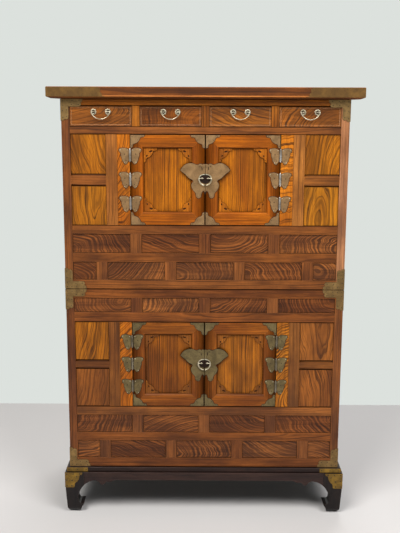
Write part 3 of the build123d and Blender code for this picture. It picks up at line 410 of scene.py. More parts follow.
def grain_of(lo, hi, figure, rng):
    """A board's own axes and ring centre. Figures: straight lines, a flame, slanting lines or arcs."""
    size = hi - lo
    middle = (lo + hi) / 2
    u, v, w = sorted(range(3), key=lambda i: -size[i])
    kind = rng.choice(figure)
    side = rng.choice((-1, 1))
    if kind == "straight":
        stretch = rng.uniform(0.02, 0.05)
        off = (rng.uniform(-0.1, 0.1), side * rng.uniform(0.5, 1.5))
    elif kind == "flame":
        stretch = rng.uniform(0.16, 0.3)
        off = (side * rng.uniform(0.3, 0.7), rng.uniform(-0.3, 0.3))
    elif kind == "slant":
        stretch = rng.uniform(0.5, 0.8)
        off = (side * rng.uniform(0.5, 0.9), rng.choice((-1, 1)) * rng.uniform(1.0, 2.6))
    else:
        stretch = rng.uniform(0.55, 0.85)
        off = (side * rng.uniform(0.25, 0.75), rng.uniform(-0.8, 0.8))
    scale = Vector((1, 1, 1))
    scale[u] = stretch
    centre = middle.copy()
    centre[u] += off[0] * size[u]
    centre[v] += off[1] * size[v]
    centre[w] += rng.uniform(0.01, 0.03)
    shift = Vector(rng.uniform(0, 9) for _ in range(3))
    return (u, v, w), centre, scale, shift


def round_angles(steps):
    return [2 * math.pi * i / steps for i in range(steps)]


def skin(part, rows):
    """Faces between rings of vertices, and over both ends. A ring may be a single vertex."""
    count = max(len(row) for row in rows)
    for low, high in zip(rows, rows[1:]):
        for i in range(count):
            j = (i + 1) % count
            corners = [low[i % len(low)], low[j % len(low)], high[j % len(high)], high[i % len(high)]]
            part.faces.new(list(dict.fromkeys(corners)))
    for row in (rows[0], rows[-1]):
        if len(row) > 1:
            part.faces.new(row)
    bmesh.ops.recalc_face_normals(part, faces=part.faces)


class Shape:
    """A piece put together from boards, sheets, rods and turned parts."""

    def __init__(self, material=None):
        self.bm = bmesh.new()
        self.grain = self.bm.verts.layers.float_vector.new("grain")
        self.rings = self.bm.verts.layers.float_vector.new("rings")
        self.tone = self.bm.verts.layers.float.new("tone")
        self.shaded = self.bm.verts.layers.float.new("shaded")
        self.materials = []
        self.index = 0
        if material:
            self.paint(material)

    def paint(self, material):
        """What is added next is made of this."""
        if material not in self.materials:
            self.materials.append(material)
        self.index = self.materials.index(material)

    def take(self, part):
        """Adds a bmesh, and gives its new vertices."""
        verts = {vert: self.bm.verts.new(vert.co) for vert in part.verts}
        for face in part.faces:
            made = self.bm.faces.new([verts[vert] for vert in face.verts])
            made.material_index = self.index
        part.free()
        return list(verts.values())

    def board(self, part, figure, rng, tone=None, deep=0):
        """Adds one board with its grain. Where it is deep, painted shade darkens it behind its face."""
        verts = self.take(part)
        lo = Vector(min(v.co[i] for v in verts) for i in range(3))
        hi = Vector(max(v.co[i] for v in verts) for i in range(3))
        axes, centre, scale, shift = grain_of(lo, hi, figure, rng)
        level = rng.random() if tone is None else tone
        for vert in verts:
            vert[self.rings] = Vector((vert.co[i] - centre[i]) * scale[i] for i in axes)
            vert[self.grain] = Vector(vert.co[i] for i in axes) + shift
            vert[self.tone] = level
            if deep:
                vert[self.shaded] = min(1, (vert.co.y - lo.y) / deep)
        return verts

    def turned(self, profile, place, segments):
        """A turned part. The profile runs from one end of its axis to the other as (radius, height)."""
        part = bmesh.new()
        rows = []
        for radius, height in profile:
            spokes = [(math.cos(a), math.sin(a)) for a in round_angles(segments if radius else 1)]
            rows.append([part.verts.new((radius * u, radius * v, height)) for u, v in spokes])
        skin(part, rows)
        part.transform(place)
        self.take(part)

    def rod(self, path, radii, sides):
        """Adds a round rod along a path of points, as thick as its radii say, and gives its vertices."""
        part = bmesh.new()
        path = [Vector(p) for p in path]
        if not isinstance(radii, (list, tuple)):
            radii = [radii] * len(path)
        ends = zip(path[:1] + path, path[1:] + path[-1:])
        ways = [(after - before).normalized() for before, after in ends]
        across = ways[0].orthogonal().normalized()
        rows = [[part.verts.new(path[0] - ways[0] * radii[0] * ROD_TIP)]]
        for point, way, radius in zip(path, ways, radii):
            across = (across - way * across.dot(way)).normalized()
            other = way.cross(across)
            spokes = [across * math.cos(a) + other * math.sin(a) for a in round_angles(sides)]
            rows.append([part.verts.new(point + spoke * radius) for spoke in spokes])
        rows.append([part.verts.new(path[-1] + ways[-1] * radii[-1] * ROD_TIP)])
        skin(part, rows)
        return self.take(part)

    def sheet(self, material, outlines, place, thickness=SHEET, edge=SHEET_EDGE):
        """A flat sheet cut to its outlines, the first one outside and the rest holes."""
        self.paint(material)
        self.take(cut_sheet(outlines, place, thickness, edge))

    def film(self, material, outline, place, out=0.0):
        """A dull film that reaches out past an outline, used for old wax with painted shadow round plates
        and for painted shadow under brackets.
        """
        self.paint(material)
        self.take(cut_sheet([outline], place, FILM_T, EDGE_SHARE * FILM_T, out))

    def nails(self, material, points, place, size=1.0):
        """Round nail heads on a sheet, at points on its plane."""
        self.paint(material)
        r, h = NAIL_R * size, NAIL_H * size
        head = [(r, -0.2 * MM), (r, 0.2 * h), (0.75 * r, 0.75 * h), (0.3 * r, h), (0, h)]
        for x, y in points:
            self.turned(head, place @ Matrix.Translation((x * MM, y * MM, 0)), 10)

    def finish(self, stands_for, word, sharp=33):
        """Makes the object, which rides on its node's body and stands for the CAD node."""
        name = f"{stands_for}_{word}"
        mesh = bpy.data.meshes.new(name)
        self.bm.to_mesh(mesh)
        self.bm.free()
        for material in self.materials:
            mesh.materials.append(material)
        for polygon in mesh.polygons:
            polygon.use_smooth = True
        mesh.set_sharp_from_angle(angle=math.radians(sharp))
        made = bpy.data.objects.new(name, mesh)
        bpy.context.scene.collection.objects.link(made)
        even = made.modifiers.new("even_shading", "WEIGHTED_NORMAL")
        even.keep_sharp = True
        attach(made, BODY[stands_for])
        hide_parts(stands_for)


def cut_sheet(outlines, place, thickness, edge, grow=0.0):
    """A flat sheet cut to its outlines, the first one outside and the rest holes, with soft edges. It may
    reach past them on all sides."""
    curve = bpy.data.curves.new("sheet", "CURVE")
    curve.dimensions = "2D"
    curve.fill_mode = "BOTH"
    curve.extrude = thickness / 2 - edge
    curve.bevel_depth = edge
    curve.bevel_resolution = 1
    curve.offset = grow - edge
    for number, outline in enumerate(outlines):
        area = sum(a[0] * b[1] - a[1] * b[0] for a, b in zip(outline, outline[1:] + outline[:1]))
        if (area > 0) == (number > 0):
            outline = outline[::-1]
        spline = curve.splines.new("POLY")
        spline.points.add(len(outline) - 1)
        for point, (x, y) in zip(spline.points, outline):
            point.co = (x, y, 0, 1)
        spline.use_cyclic_u = True
    holder = bpy.data.objects.new("sheet", curve)
    mesh = bpy.data.meshes.new_from_object(holder)
    bpy.data.objects.remove(holder)
    bpy.data.curves.remove(curve)
    mesh.transform(raised(place, thickness / 2))
    part = bmesh.new()
    part.from_mesh(mesh)
    bpy.data.meshes.remove(mesh)
    bmesh.ops.remove_doubles(part, verts=part.verts, dist=1e-6)
    bmesh.ops.recalc_face_normals(part, faces=part.faces)
    return part


def upright(x, y, z):
    """A plane that faces the viewer, as a matrix: its own x to the right, its own y up."""
    return Matrix(((1, 0, 0, x), (0, 0, -1, y), (0, 1, 0, z), (0, 0, 0, 1)))


def sideways(x, y, z, s):
    """A plane that faces +X or -X, as s says: its own x towards the back, its own y up."""
    return Matrix(((0, 0, s, x), (1, 0, 0, y), (0, 1, 0, z), (0, 0, 0, 1)))


def rounded(points, corners, steps=4):
    """A closed outline through the points in millimetres, curved between them except at the corners."""
    count = len(points)
    points = [Vector(p) * MM for p in points]
    found = []
    for i in range(count):
        a, b, c, d = (points[(i + k) % count] for k in (-1, 0, 1, 2))
        leave = (c - b) * 0.5 if i in corners else (c - a) * 0.5
        arrive = (c - b) * 0.5 if (i + 1) % count in corners else (d - b) * 0.5
        for step in range(steps):
            t = step / steps
            h = (2 * t**3 - 3 * t**2 + 1, t**3 - 2 * t**2 + t, -2 * t**3 + 3 * t**2, t**3 - t**2)
            found.append(tuple(b * h[0] + leave * h[1] + c * h[2] + arrive * h[3]))
    return found


def flipped(points, sx=1, sy=1):
    return [(sx * x, sy * y) for x, y in points]


def circle(x, y, radius, steps, squeeze=1.0, turn=0.0):
    """A closed outline round a point in millimetres, squeezed across and turned by an angle."""
    found = []
    for a in round_angles(steps):
        u, v = radius * math.cos(a), squeeze * radius * math.sin(a)
        place = (x + u * math.cos(turn) - v * math.sin(turn), y + u * math.sin(turn) + v * math.cos(turn))
        found.append((MM * place[0], MM * place[1]))
    return found


def raised(place, height):
    """A plane that lies this much further out."""
    return place @ Matrix.Translation((0, 0, height))


# ---- what the record says ----
RECORD = frame["record"]
BODY = {name: body for body, names in RECORD["behaviour"]["bodies"].items() for name in names}
JOINTS = RECORD["behaviour"]["joints"]
AXIS = {joint["name"]: Vector(joint["pos_m"]) for joint in JOINTS if "pos_m" in joint}
TIERS = ("lower", "upper")
SIDES = {"left": -1, "right": 1}
DRAWERS = 4

# ---- materials: lengths in millimetres, colours as seen in the photograph's light ----
FRAME = wood("frame_wood_look", (148, 86, 36), (104, 58, 26), (44, 23, 13), 7, 0.7, 7, wear_and_highlight=0.9,
             wear_and_highlight_color=(186, 116, 58))
POST = wood("post_look", (134, 76, 34), (92, 50, 25), (40, 21, 14), 8, 0.7, 7)
# A painted sheen: the upper right front post is made lighter.
POST_SHEEN = wood("sheen_post_look", (186, 128, 86), (150, 98, 62), (84, 50, 32), 8, 0.7, 7)
MUNTIN = wood("muntin_look", (138, 80, 36), (98, 54, 26), (46, 24, 15), 7, 0.7, 7)
# The rail under the top board is lightened partly as painted light against the top board's shadow.
RAIL_WARM = wood("warm_rail_look", (206, 122, 32), (160, 88, 22), (76, 38, 12), 8, 0.7, 7)
DIVIDER = wood("divider_look", (168, 98, 26), (130, 70, 18), (62, 31, 12), 6, 0.8, 7)
JAMB = wood("jamb_look", (208, 120, 24), (168, 90, 17), (48, 22, 9), 15, 0.95, 24)
JAMB_BOLD = wood("bold_jamb_look", (216, 128, 26), (178, 98, 20), (50, 22, 8), 7, 1.0, 20, BOLD_LINES)
# The lower tier's looks are darker than the upper ones: their hue is their own, the darkening is painted
# shade.
MULLION = wood("mullion_look", (178, 110, 46), (136, 80, 32), (64, 34, 16), 7, 0.8, 7)
MULLION_LOW = wood("low_mullion_look", (144, 86, 34), (104, 59, 25), (52, 27, 14), 7, 0.8, 7)
BURL = wood("burl_look", (160, 94, 42), (112, 62, 28), (46, 25, 16), 9, 0.9, 26, LIGHT_LINES,
            wear_and_highlight=0.8, wear_and_highlight_color=(190, 116, 54))
SIDE_FIELD = wood("side_field_look", (190, 116, 22), (146, 84, 15), (68, 37, 11), 12, 0.95, 26)
SIDE_FIELD_LOW = wood("low_side_field_look", (158, 92, 34), (114, 63, 24), (52, 27, 14), 12, 0.85, 26)
SIDE_PANEL = wood("side_panel_look", (160, 91, 30), (118, 64, 20), (56, 29, 13), 13, 0.85, 28)
DOOR = wood("door_look", (182, 96, 12), (144, 71, 9), (72, 33, 7), 7, 0.75, 8, wear_and_highlight=0.9,
            wear_and_highlight_color=(216, 128, 40))
DOOR_LOW = wood("low_door_look", (158, 86, 20), (118, 60, 15), (58, 28, 10), 7, 0.75, 8, wear_and_highlight=0.9,
                wear_and_highlight_color=(192, 114, 46))
# The door panels get strong painted shade in the recesses round them.
DOOR_PANEL = wood("door_panel_look", (198, 114, 14), (150, 78, 10), (68, 33, 8), 6, 0.95, 9,
                  corner_shade=0.9, reach=14)
DOOR_PANEL_LOW = wood("low_door_panel_look", (190, 110, 20), (132, 72, 16), (54, 28, 11), 6, 1.0, 10,
                      corner_shade=0.9, reach=14)
BRACKET = {"upper": wood("bracket_look", (196, 112, 20), (150, 80, 14), (70, 35, 10), 6, 0.8, 9),
           "lower": wood("low_bracket_look", (158, 92, 26), (116, 64, 20), (54, 28, 12), 6, 0.8, 9)}
# Drawer fronts' edges are lightened almost evenly: wear and a painted highlight.
DRAWER = wood("drawer_look", (158, 90, 28), (110, 60, 20), (44, 23, 12), 10, 0.9, 22, wear_and_highlight=1.3,
              wear_and_highlight_color=(226, 172, 124), patchy=0.4)
# The top board's edges, its lower front edge most, are lightened by wear and a painted highlight.
TOP = wood("top_look", (124, 68, 23), (90, 47, 16), (44, 23, 11), 9, 0.6, 7, gloss=0.55, coat=0.0,
           wear_and_highlight=1.2, wear_and_highlight_color=(214, 130, 58), patchy=0.6, rim=4)
# The bead's light colour stands partly for a painted highlight along the top board's lower edge.
BEAD = wood("bead_look", (206, 124, 52), (168, 94, 38), (90, 48, 20), 7, 0.6, 7)
STAND = wood("stand_look", (36, 25, 22), (25, 18, 16), (11, 9, 8), 8, 0.5, gloss=0.34, coat=0.15,
             wear_and_highlight=0.4, wear_and_highlight_color=(96, 76, 64))
APRON = wood("apron_look", (54, 35, 29), (38, 25, 22), (20, 13, 12), 8, 0.6, gloss=0.38, coat=0.1,
             wear_and_highlight=0.5, wear_and_highlight_color=(112, 80, 64))
BACK = wood("back_look", (132, 98, 70), (104, 74, 50), (64, 44, 30), 12, 0.7, gloss=0.6, coat=0.0)
INNER = wood("inner_look", (186, 152, 112), (160, 124, 86), (118, 86, 58), 10, 0.5, gloss=0.6, coat=0.0,
             corner_shade=0.7)
# Painted shade under the chest, on the lowest inner board.
SHADED_UNDERSIDE = wood("shaded_underside_look", (74, 62, 52), (56, 46, 38), (34, 27, 22), 10, 0.5, gloss=0.6, coat=0.0)
# The lower tier's plates and barrels are darker as painted shade; the upper barrels' near-white is partly a
# painted highlight.
PLATE = {"upper": brass("upper_plate_look", (174, 136, 92), (128, 98, 64), (62, 48, 34)),
         "lower": brass("lower_plate_look", (134, 116, 76), (92, 78, 49), (46, 39, 26))}
CORNER_BRASS = brass("corner_brass_look", (164, 130, 78), (114, 88, 50), (54, 42, 27), patina=0.75)
TOP_BRASS = brass("top_brass_look", (142, 103, 50), (96, 68, 32), (46, 34, 19), patina=0.75)
STAND_BRASS = brass("stand_brass_look", (186, 144, 52), (108, 82, 34), (50, 38, 20), patina=0.9)
BARREL = {"upper": brass("upper_barrel_look", (208, 206, 204), (140, 130, 120), (70, 62, 54), 0.8, 0.3),
          "lower": brass("lower_barrel_look", (150, 142, 126), (98, 88, 70), (52, 46, 36), 0.8, 0.3)}
HANDLE_BRASS = brass("handle_look", (218, 208, 184), (156, 142, 112), (80, 70, 52), 0.85, 0.32, 0.4)
NAIL_DARK = brass("dark_nail_look", (60, 50, 36), (42, 34, 25), (26, 22, 17), 0.6, 0.45)
NAIL_BRIGHT = brass("bright_nail_look", (214, 206, 186), (170, 158, 132), (96, 86, 68), 0.8, 0.36)
# Dark film round the plates: old wax with a painted shadow.
WAX_AND_SHADOW = flat_film("old_wax_and_painted_shadow", (38, 22, 13))
# Painted shadow under the carved brackets.
BRACKET_SHADOW = flat_film("painted_bracket_shadow", (66, 34, 14))


# ---- wooden pieces ----
JOINT_NEAR = 3 * MM  # a board's end this near to a door, a drawer or the tier's end lies at a seam
LONG = 200 * MM  # jambs and mullions are longer than this, cross pieces shorter
JAMB_NEAR = 45 * MM  # a jamb's middle lies this near to the doors
FIELD_LOWEST = 10 * MM  # an upper field ends at most this far below the middle of the doors
JAMB_TONES = {("upper", False): 0.15, ("upper", True): 0.65, ("lower", False): 0.1, ("lower", True): 0.95}
FIELD_TONES = {  # by tier, right side and upper one of the two
    ("upper", False, True): 0.15, ("upper", False, False): 0.55, ("upper", True, True): 0.35,
    ("upper", True, False): 0.95, ("lower", False, True): 0.2, ("lower", False, False): 0.3,
    ("lower", True, True): 0.7, ("lower", True, False): 0.4,
}
PANEL_TONES = {"upper": {"left": 0.7, "right": 0.7}, "lower": {"left": 0.15, "right": 0.7}}
# Heights on a leg, and where lower_scroll takes them.
SCROLL = [(0, 0), (20, 18), (43.5, 29), (47, 32.5), (62.5, 51), (80.5, 73), (90.5, 87), (98, 98)]

# A board's look: its material, the figures to draw from, the rounding of its edges, its tone or None for
# any, the rounding of its front edges along x, how deep painted shade darkens it behind its face, and its
# seams as (axis, place), along which painted shadow lines run.
Look = namedtuple("Look", "material figure edge tone roll deep seams", defaults=(None, 0, 0, ()))


def wooden(name, choose, extra=None, reshape=None):
    """Stands for a CAD node of boards. choose(lo, hi) gives a board's look, or None to leave it out."""
    rng = Random(name)
    shape = Shape()
    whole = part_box(name)
    for faces in solids_of(name):
        lo, hi = corners_of(faces)
        look = choose(lo, hi)
        if look is None:
            continue
        part = solid_mesh(faces)
        if reshape:
            reshape(part)
        planes = [(1, lo.y)]
        for own, end in zip((lo, hi), whole):
            planes += [(axis, own[axis]) for axis in range(3) if abs(own[axis] - end[axis]) < FACE_NEAR]
        if look.roll:
            soften(part, [(1, lo.y)], look.roll, 5, along=0)
        if look.seams:
            soften(part, look.seams, SEAM, 4)
        if look.edge:
            soften(part, planes, look.edge, 3)
        shape.paint(look.material)
        for vert in shape.board(part, look.figure, rng, look.tone, look.deep):
            # Vertices this near to a seam get the painted shadow line.
            if any(abs(vert.co[axis] - place) < SEAM_SHADE for axis, place in look.seams):
                vert[shape.shaded] = 1
    if extra:
        extra(shape, rng)
    shape.finish(name, "wood")


def plain(material, figure=("straight", "flame"), edge=SOFT_EDGE, tone=None):
    """One look for all boards of a node."""
    return lambda lo, hi: Look(material, figure, edge, tone)


def drawer_front(lo, hi):
    """A swirled board with a painted shadow along its upper edge, under the rail above it."""
    return Look(DRAWER, ("slant", "arc"), 1.5 * MM, seams=((2, hi.z),))


def inner_board(lo, hi):
    """Pale inner boards. The lowest one of all is darkened as painted shade under the chest."""
    lowest = lo.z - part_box("lower_inner_boards")[0].z < 1 * MM
    return Look(SHADED_UNDERSIDE if lowest else INNER, ("straight", "flame"), 0)


def open_joints(tier, lo, hi):
    """A board's lower and upper planes, where they lie at the tier's end, a door or a drawer."""
    names = [f"{tier}_corner_posts", f"{tier}_right_door_frame"]
    if tier == "upper":
        names.append("drawer_1_front")
    places = [corner.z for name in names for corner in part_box(name)]
    return tuple((2, z) for z in (lo.z, hi.z) if any(abs(z - place) < JOINT_NEAR for place in places))


def posts(tier):
    """Corner posts: the upper right one at the front is lighter, a painted sheen."""

    def choose(lo, hi):
        pale = tier == "upper" and lo.x > 0 and lo.y < 0
        return Look(POST_SHEEN if pale else POST, ("straight",), SOFT_EDGE, seams=open_joints(tier, lo, hi))

    return choose


def rails(tier):
    """Rails: the one under the top board is the warmest, and lightened as painted light against the top
    board's shadow; the one over the stand is the darkest.
    """
    bottom, top = (corner.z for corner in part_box(f"{tier}_rails"))

    def choose(lo, hi):
        material = RAIL_WARM if tier == "upper" and top - hi.z < 1 * MM else FRAME
        tone = 0.0 if tier == "lower" and lo.z - bottom < 1 * MM else None
        return Look(material, ("straight",), THIN_EDGE, tone, seams=open_joints(tier, lo, hi))

    return choose


def uprights(tier):
    """Jambs, mullions, cross pieces, dividers and muntins, told apart by their places and sizes."""
    door_lo, door_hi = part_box(f"{tier}_right_door_frame")
    mullion = MULLION if tier == "upper" else MULLION_LOW

    def choose(lo, hi):
        right, reach = lo.x > 0, abs(lo.x + hi.x) / 2
        beside = lo.z < door_hi.z and hi.z > door_lo.z
        if beside and hi.z - lo.z > LONG and reach < door_hi.x + JAMB_NEAR:
            bold = tier == "lower" and right
            return Look(JAMB_BOLD if bold else JAMB, ("slant", "arc"), THIN_EDGE, JAMB_TONES[tier, right])
        if beside and hi.z - lo.z > LONG:
            return Look(mullion, ("straight",), THIN_EDGE, 0.9 if right else 0.4)
        if beside:
            brown = tier == "upper" and not right
            return Look(FRAME if brown else mullion, ("straight",), 0, 0.35, ROLLED_EDGE, CROSS_DEEP)
        if tier == "upper" and lo.z > door_hi.z:
            return Look(DIVIDER, ("straight",), THIN_EDGE, 0.6)
        return Look(MUNTIN, ("straight",), THIN_EDGE)

    return choose


def front_fields(tier):
    """Small burl panels in the rows, and larger ones beside the doors, most of them golden."""
    door_lo, door_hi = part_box(f"{tier}_right_door_frame")

    def choose(lo, hi):
        if lo.z < door_hi.z and hi.z > door_lo.z:
            right, above = lo.x > 0, lo.z > (door_lo.z + door_hi.z) / 2 - FIELD_LOWEST
            material = SIDE_FIELD if tier == "upper" or (above and not right) else SIDE_FIELD_LOW
            return Look(material, ("slant", "flame"), SOFT_EDGE, FIELD_TONES[tier, right, above], 0, DEEP)
        return Look(BURL, ("arc", "arc", "slant"), SOFT_EDGE, None, 0, DEEP)

    return choose


def edge_bead(shape, rng):
    """A thin moulding along the front edge of the top board's underside, between its two bands."""
    lo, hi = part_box("top_board")
    reach = hi.x - SLAB_ARM * MM - BEAD_R
    y, z = lo.y + BEAD_IN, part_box("top_board_brass")[0].z + BEAD_R
    # The light bead is partly a painted highlight.
    shape.paint(BEAD)
    for vert in shape.rod([(-reach, y, z), (reach, y, z)], BEAD_R, 12):
        vert[shape.grain] = vert.co
        vert[shape.rings] = (vert.co.x * 0.05, vert.co.y + 1, vert.co.z)
        vert[shape.tone] = 0.6


def lower_scroll(part):
    """Draws a leg's scroll down towards its foot, so that the curl sits low and the bow over it is open."""
    for vert in part.verts:
        for (z0, low0), (z1, low1) in zip(SCROLL, SCROLL[1:]):
            if z0 * MM <= vert.co.z < z1 * MM:
                share = (vert.co.z / MM - z0) / (z1 - z0)
                vert.co.z = (low0 + share * (low1 - low0)) * MM
                break


# ---- doors ----
DOOR_RAIL = 41.0  # the carved brackets start this far in from a door's edges
SPANDREL_W = 41.0
SPANDREL_H = 43.0
SPANDREL_T = 3.0
SPANDREL_MAX = 60 * MM  # the CAD brackets are shorter than this both ways
MEETING_NEAR = 100 * MM  # of a door's stiles, the one at the other door starts this near to the middle
SPANDREL_EDGE = 0.9 * MM
# Painted shade darkens a bracket this far behind its face.
SPANDREL_DEEP = 4.8 * MM
DOOR_EDGE = 0.7 * MM
# Painted shade darkens a door frame this far behind its face.
DOOR_DEEP = 5 * MM
SHADOW_OUT = 0.25 * MM
PIERCINGS = [  # in a carved bracket: place as shares of its legs, length and slant
    (0.52, 0.21, 11, -20), (0.22, 0.54, 7.5, 110), (0.09, 0.82, 3.2, 0), (0.82, 0.08, 3.0, 0),
]
LOBED = (0, 1, 8)  # the sharp corners of a triangle whose long side is scalloped


def triangle_lobes(w, h):
    """The scalloped long side of a right triangle with legs w and h, from the end of w to the end of h."""
    shares = [(1, 0), (0.94, 0.13), (0.71, 0.19), (0.61, 0.42)]
    shares += [(y, x) for x, y in reversed(shares)]
    return [(w * x, h * y) for x, y in shares]


def corner_planes(lo, hi, y, inset):
    """A plane at each corner of a door, with the ways that lead from it into the door."""
    for sx, x in ((1, lo.x + inset), (-1, hi.x - inset)):
        for sz, z in ((1, lo.z + inset), (-1, hi.z - inset)):
            yield upright(x, y, z), sx, sz


def door_frame(tier, side):
    """Frame members, and the carved brackets in their inner corners."""
    lo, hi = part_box(f"{tier}_{side}_door_frame")
    panel_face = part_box(f"{tier}_{side}_door_panel")[0].y

    def choose(low, high):
        size = high - low
        if max(size.x, size.z) < SPANDREL_MAX:
            return None
        stile = size.z > size.x
        tone = 0.35 if stile else 0.75
        if stile and 0 < low.x < MEETING_NEAR:  # the right door's meeting stile
            tone = 0.6
        seams = tuple((0, x) for x in (low.x, high.x) if stile and x in (lo.x, hi.x))
        material = DOOR if tier == "upper" else DOOR_LOW
        return Look(material, ("straight",), DOOR_EDGE, tone, 0, DOOR_DEEP, seams)

    def brackets(shape, rng):
        w, h = SPANDREL_W, SPANDREL_H
        for place, sx, sz in corner_planes(lo, hi, panel_face, DOOR_RAIL * MM):
            outline = rounded(flipped([(0, 0), *triangle_lobes(w, h)], sx, sz), LOBED)
            holes = []
            for u, v, length, turn in PIERCINGS:
                turn = sx * sz * math.radians(turn)
                holes.append(circle(sx * u * w, sz * v * h, length / 2, 14, 0.5, turn))
            # Painted shadow round the bracket.
            shape.film(BRACKET_SHADOW, outline, place, SHADOW_OUT)
            shape.paint(BRACKET[tier])
            part = cut_sheet([outline, *holes], place, SPANDREL_T * MM, SPANDREL_EDGE)
            shape.board(part, ("straight",), rng, tone=0.6, deep=SPANDREL_DEEP)

    return choose, brackets


# ---- hinges ----
PLATE_IN = 0.5  # plates start this far inside the wood's edges
CORNER_W = 43.0
CORNER_H = 39.0
HINGE_HALF_W = 34.5
HINGE_H = 49.0
HINGE_TO_CORNER = 0.6
KNUCKLE_R = 3.7
KNUCKLE_H = 33.0
KNUCKLE_UP = 3.0
KNUCKLE_LOW = KNUCKLE_UP - KNUCKLE_H / 2
KNUCKLE_GAP = 0.3
KNUCKLE_END = [(0.86, 0), (1, 0.5), (1, 1.6), (0.92, 2.1)]  # radius as a share, and height
PIN_BALL = [(1.4, 0), (1.4, 0.6), (2.3, 1.4), (2.6, 2.4), (2.2, 3.6), (1.2, 4.4), (0, 4.7)]
WING_IN = 4.4  # a wing starts this far beside its pin
HINGE_NAIL = 0.85  # size of its nails


def hinge_levels(door):
    lo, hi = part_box(f"{door}_frame")
    reach = (PLATE_IN + CORNER_H + HINGE_TO_CORNER + HINGE_H / 2) * MM
    return [lo.z + reach, (lo.z + hi.z) / 2, hi.z - reach]


def hinge_leaf(shape, tier, axis, face, z, s, spans):
    """A butterfly's wing with its nails, its knuckles, and balls on the pin where it has two knuckles."""
    top, w = HINGE_H / 2, HINGE_HALF_W
    inner = [(WING_IN, KNUCKLE_LOW)]
    for a, b in spans:
        inner += [(WING_IN, a), (2, a), (2, b), (WING_IN, b)]
    inner.append((WING_IN, KNUCKLE_LOW + KNUCKLE_H))
    inner = list(dict.fromkeys(inner))
    wing = [(10, top - 1.5), (18, top + 0.2), (26, top), (w - 2, top - 2), (w, top - 7), (w - 3, top - 12),
            (w - 6.5, top - 16), (w - 6.2, top - 23), (w - 9, top - 30), (w - 10.5, top - 37),
            (w - 14, 6 - top), (w - 17.5, 1 - top), (w - 22, -top), (w - 25.5, 4 - top)]
    place = upright(axis.x, face, z)
    outline = rounded(flipped(inner + wing, s), range(len(inner)))
    holes = [circle(s * 17, 6, 1.6, 10), circle(s * 12.5, -13.5, 1.3, 10)]
    # Film of old wax with a painted shadow round the wing.
    shape.film(WAX_AND_SHADOW, outline, place, FILM_OUT)
    shape.sheet(PLATE[tier], [outline, *holes], place)
    front = raised(place, SHEET)
    shape.nails(NAIL_BRIGHT, flipped([(30.5, 19.5), (8.5, 18.5), (18, -19.5)], s), front, HINGE_NAIL)
    shape.nails(PLATE[tier], flipped([(20, 19), (24, 2), (9, 3), (11, -19)], s), front, HINGE_NAIL)
    shape.paint(BARREL[tier])
    for a, b in spans:
        profile = [(KNUCKLE_R * MM * share, up * MM) for share, up in KNUCKLE_END]
        profile += [(radius, (b - a) * MM - up) for radius, up in reversed(profile)]
        shape.turned(profile, Matrix.Translation((axis.x, axis.y, z + a * MM)), 20)
    if len(spans) > 1:
        for end, way in ((spans[-1][1], 1), (spans[0][0], -1)):
            at = Matrix.Translation((axis.x, axis.y, z + end * MM)) @ Matrix.Diagonal((1, 1, way, 1))
            shape.turned([(radius * MM, up * MM) for radius, up in PIN_BALL], at, 16)


def hinges(tier):
    """A tier's butterfly hinges: the jambs' leaves have two knuckles and the pin, the doors' have one."""
    third = KNUCKLE_H / 3
    middle = [(KNUCKLE_LOW + third + KNUCKLE_GAP, KNUCKLE_LOW + 2 * third - KNUCKLE_GAP)]
    ends = [(KNUCKLE_LOW, KNUCKLE_LOW + third), (KNUCKLE_LOW + 2 * third, KNUCKLE_LOW + KNUCKLE_H)]
    fixed = Shape()
    for side, s in SIDES.items():
        door = f"{tier}_{side}_door"
        axis = AXIS[f"{door}_hinge"]
        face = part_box(f"{door}_frame")[0].y
        moving = Shape()
        for z in hinge_levels(door):
            hinge_leaf(moving, tier, axis, face, z, -s, middle)
            hinge_leaf(fixed, tier, axis, face, z, s, ends)
        moving.finish(f"{door}_hinges", "brass")
    fixed.finish(f"{tier}_jamb_hinges", "brass")


# ---- door plates ----
EYE_R = 2.3
LOCK_EDGE = 0.75  # half the gap between the two halves of a lock plate
LOCK_HEAD = [(LOCK_EDGE, -44), (LOCK_EDGE, 43), (5, 43.5), (9, 41.5), (14, 44), (20, 43), (24, 40.5),
             (30, 42), (36, 44.5), (47.5, 46), (59, 42.5), (68, 36), (73.5, 29)]
LOCK_WING = [(76, 24), (70, 18.5), (62, 12.5), (53, 3), (46, -2), (40, -5), (37, -10), (41, -16),
             (42.5, -22), (41, -29), (37, -37), (31, -43.5)]
LOCK_TAIL = [(28.5, -50), (27.5, -57), (20.5, -62), (13.5, -58), (12.4, -51), (9, -42), (5, -39)]
LOCK_BODY = [(LOCK_EDGE, 14), (LOCK_EDGE, 42), (3.5, 41), (5.8, 35), (6.6, 27), (5.2, 14)]
LOCK_BELOW = [(LOCK_EDGE, -22), (LOCK_EDGE, -43), (3.2, -39), (5.4, -32), (6, -25), (4.5, -22)]
LOCK_NAILS = [(45, 40), (64, 31), (48, 12), (30, 8), (33, -14), (33, -32), (20.5, -54), (28, 30)]
RIM_H = 2.4  # the rim over the pull: thickness, reach to the side, width and reach up
RIM_R = 20.5
RIM_W = 3.0
RIM_TOP = 13.5
WELL_R = 17.5  # the film of painted shadow under the rim
WELL_TOP = 11.0
CURL_AT = (15.5, 37)  # the butterfly's feeler
CURL_R = 4.2


def ring_eye(shape, axis, x, back):
    """A staple's eye round a handle's axis, on a shank that ends at the face behind it."""
    shape.paint(HANDLE_BRASS)
    ring = []
    for a in (*round_angles(14), 2 * math.pi):
        ring.append((x, axis.y + EYE_R * MM * math.cos(a), axis.z + EYE_R * MM * math.sin(a)))
    shape.rod(ring, 0.8 * MM, 8)
    shape.rod([(x, axis.y + 2.0 * MM, axis.z), (x, back, axis.z)], [1.5 * MM, 1.9 * MM], 10)


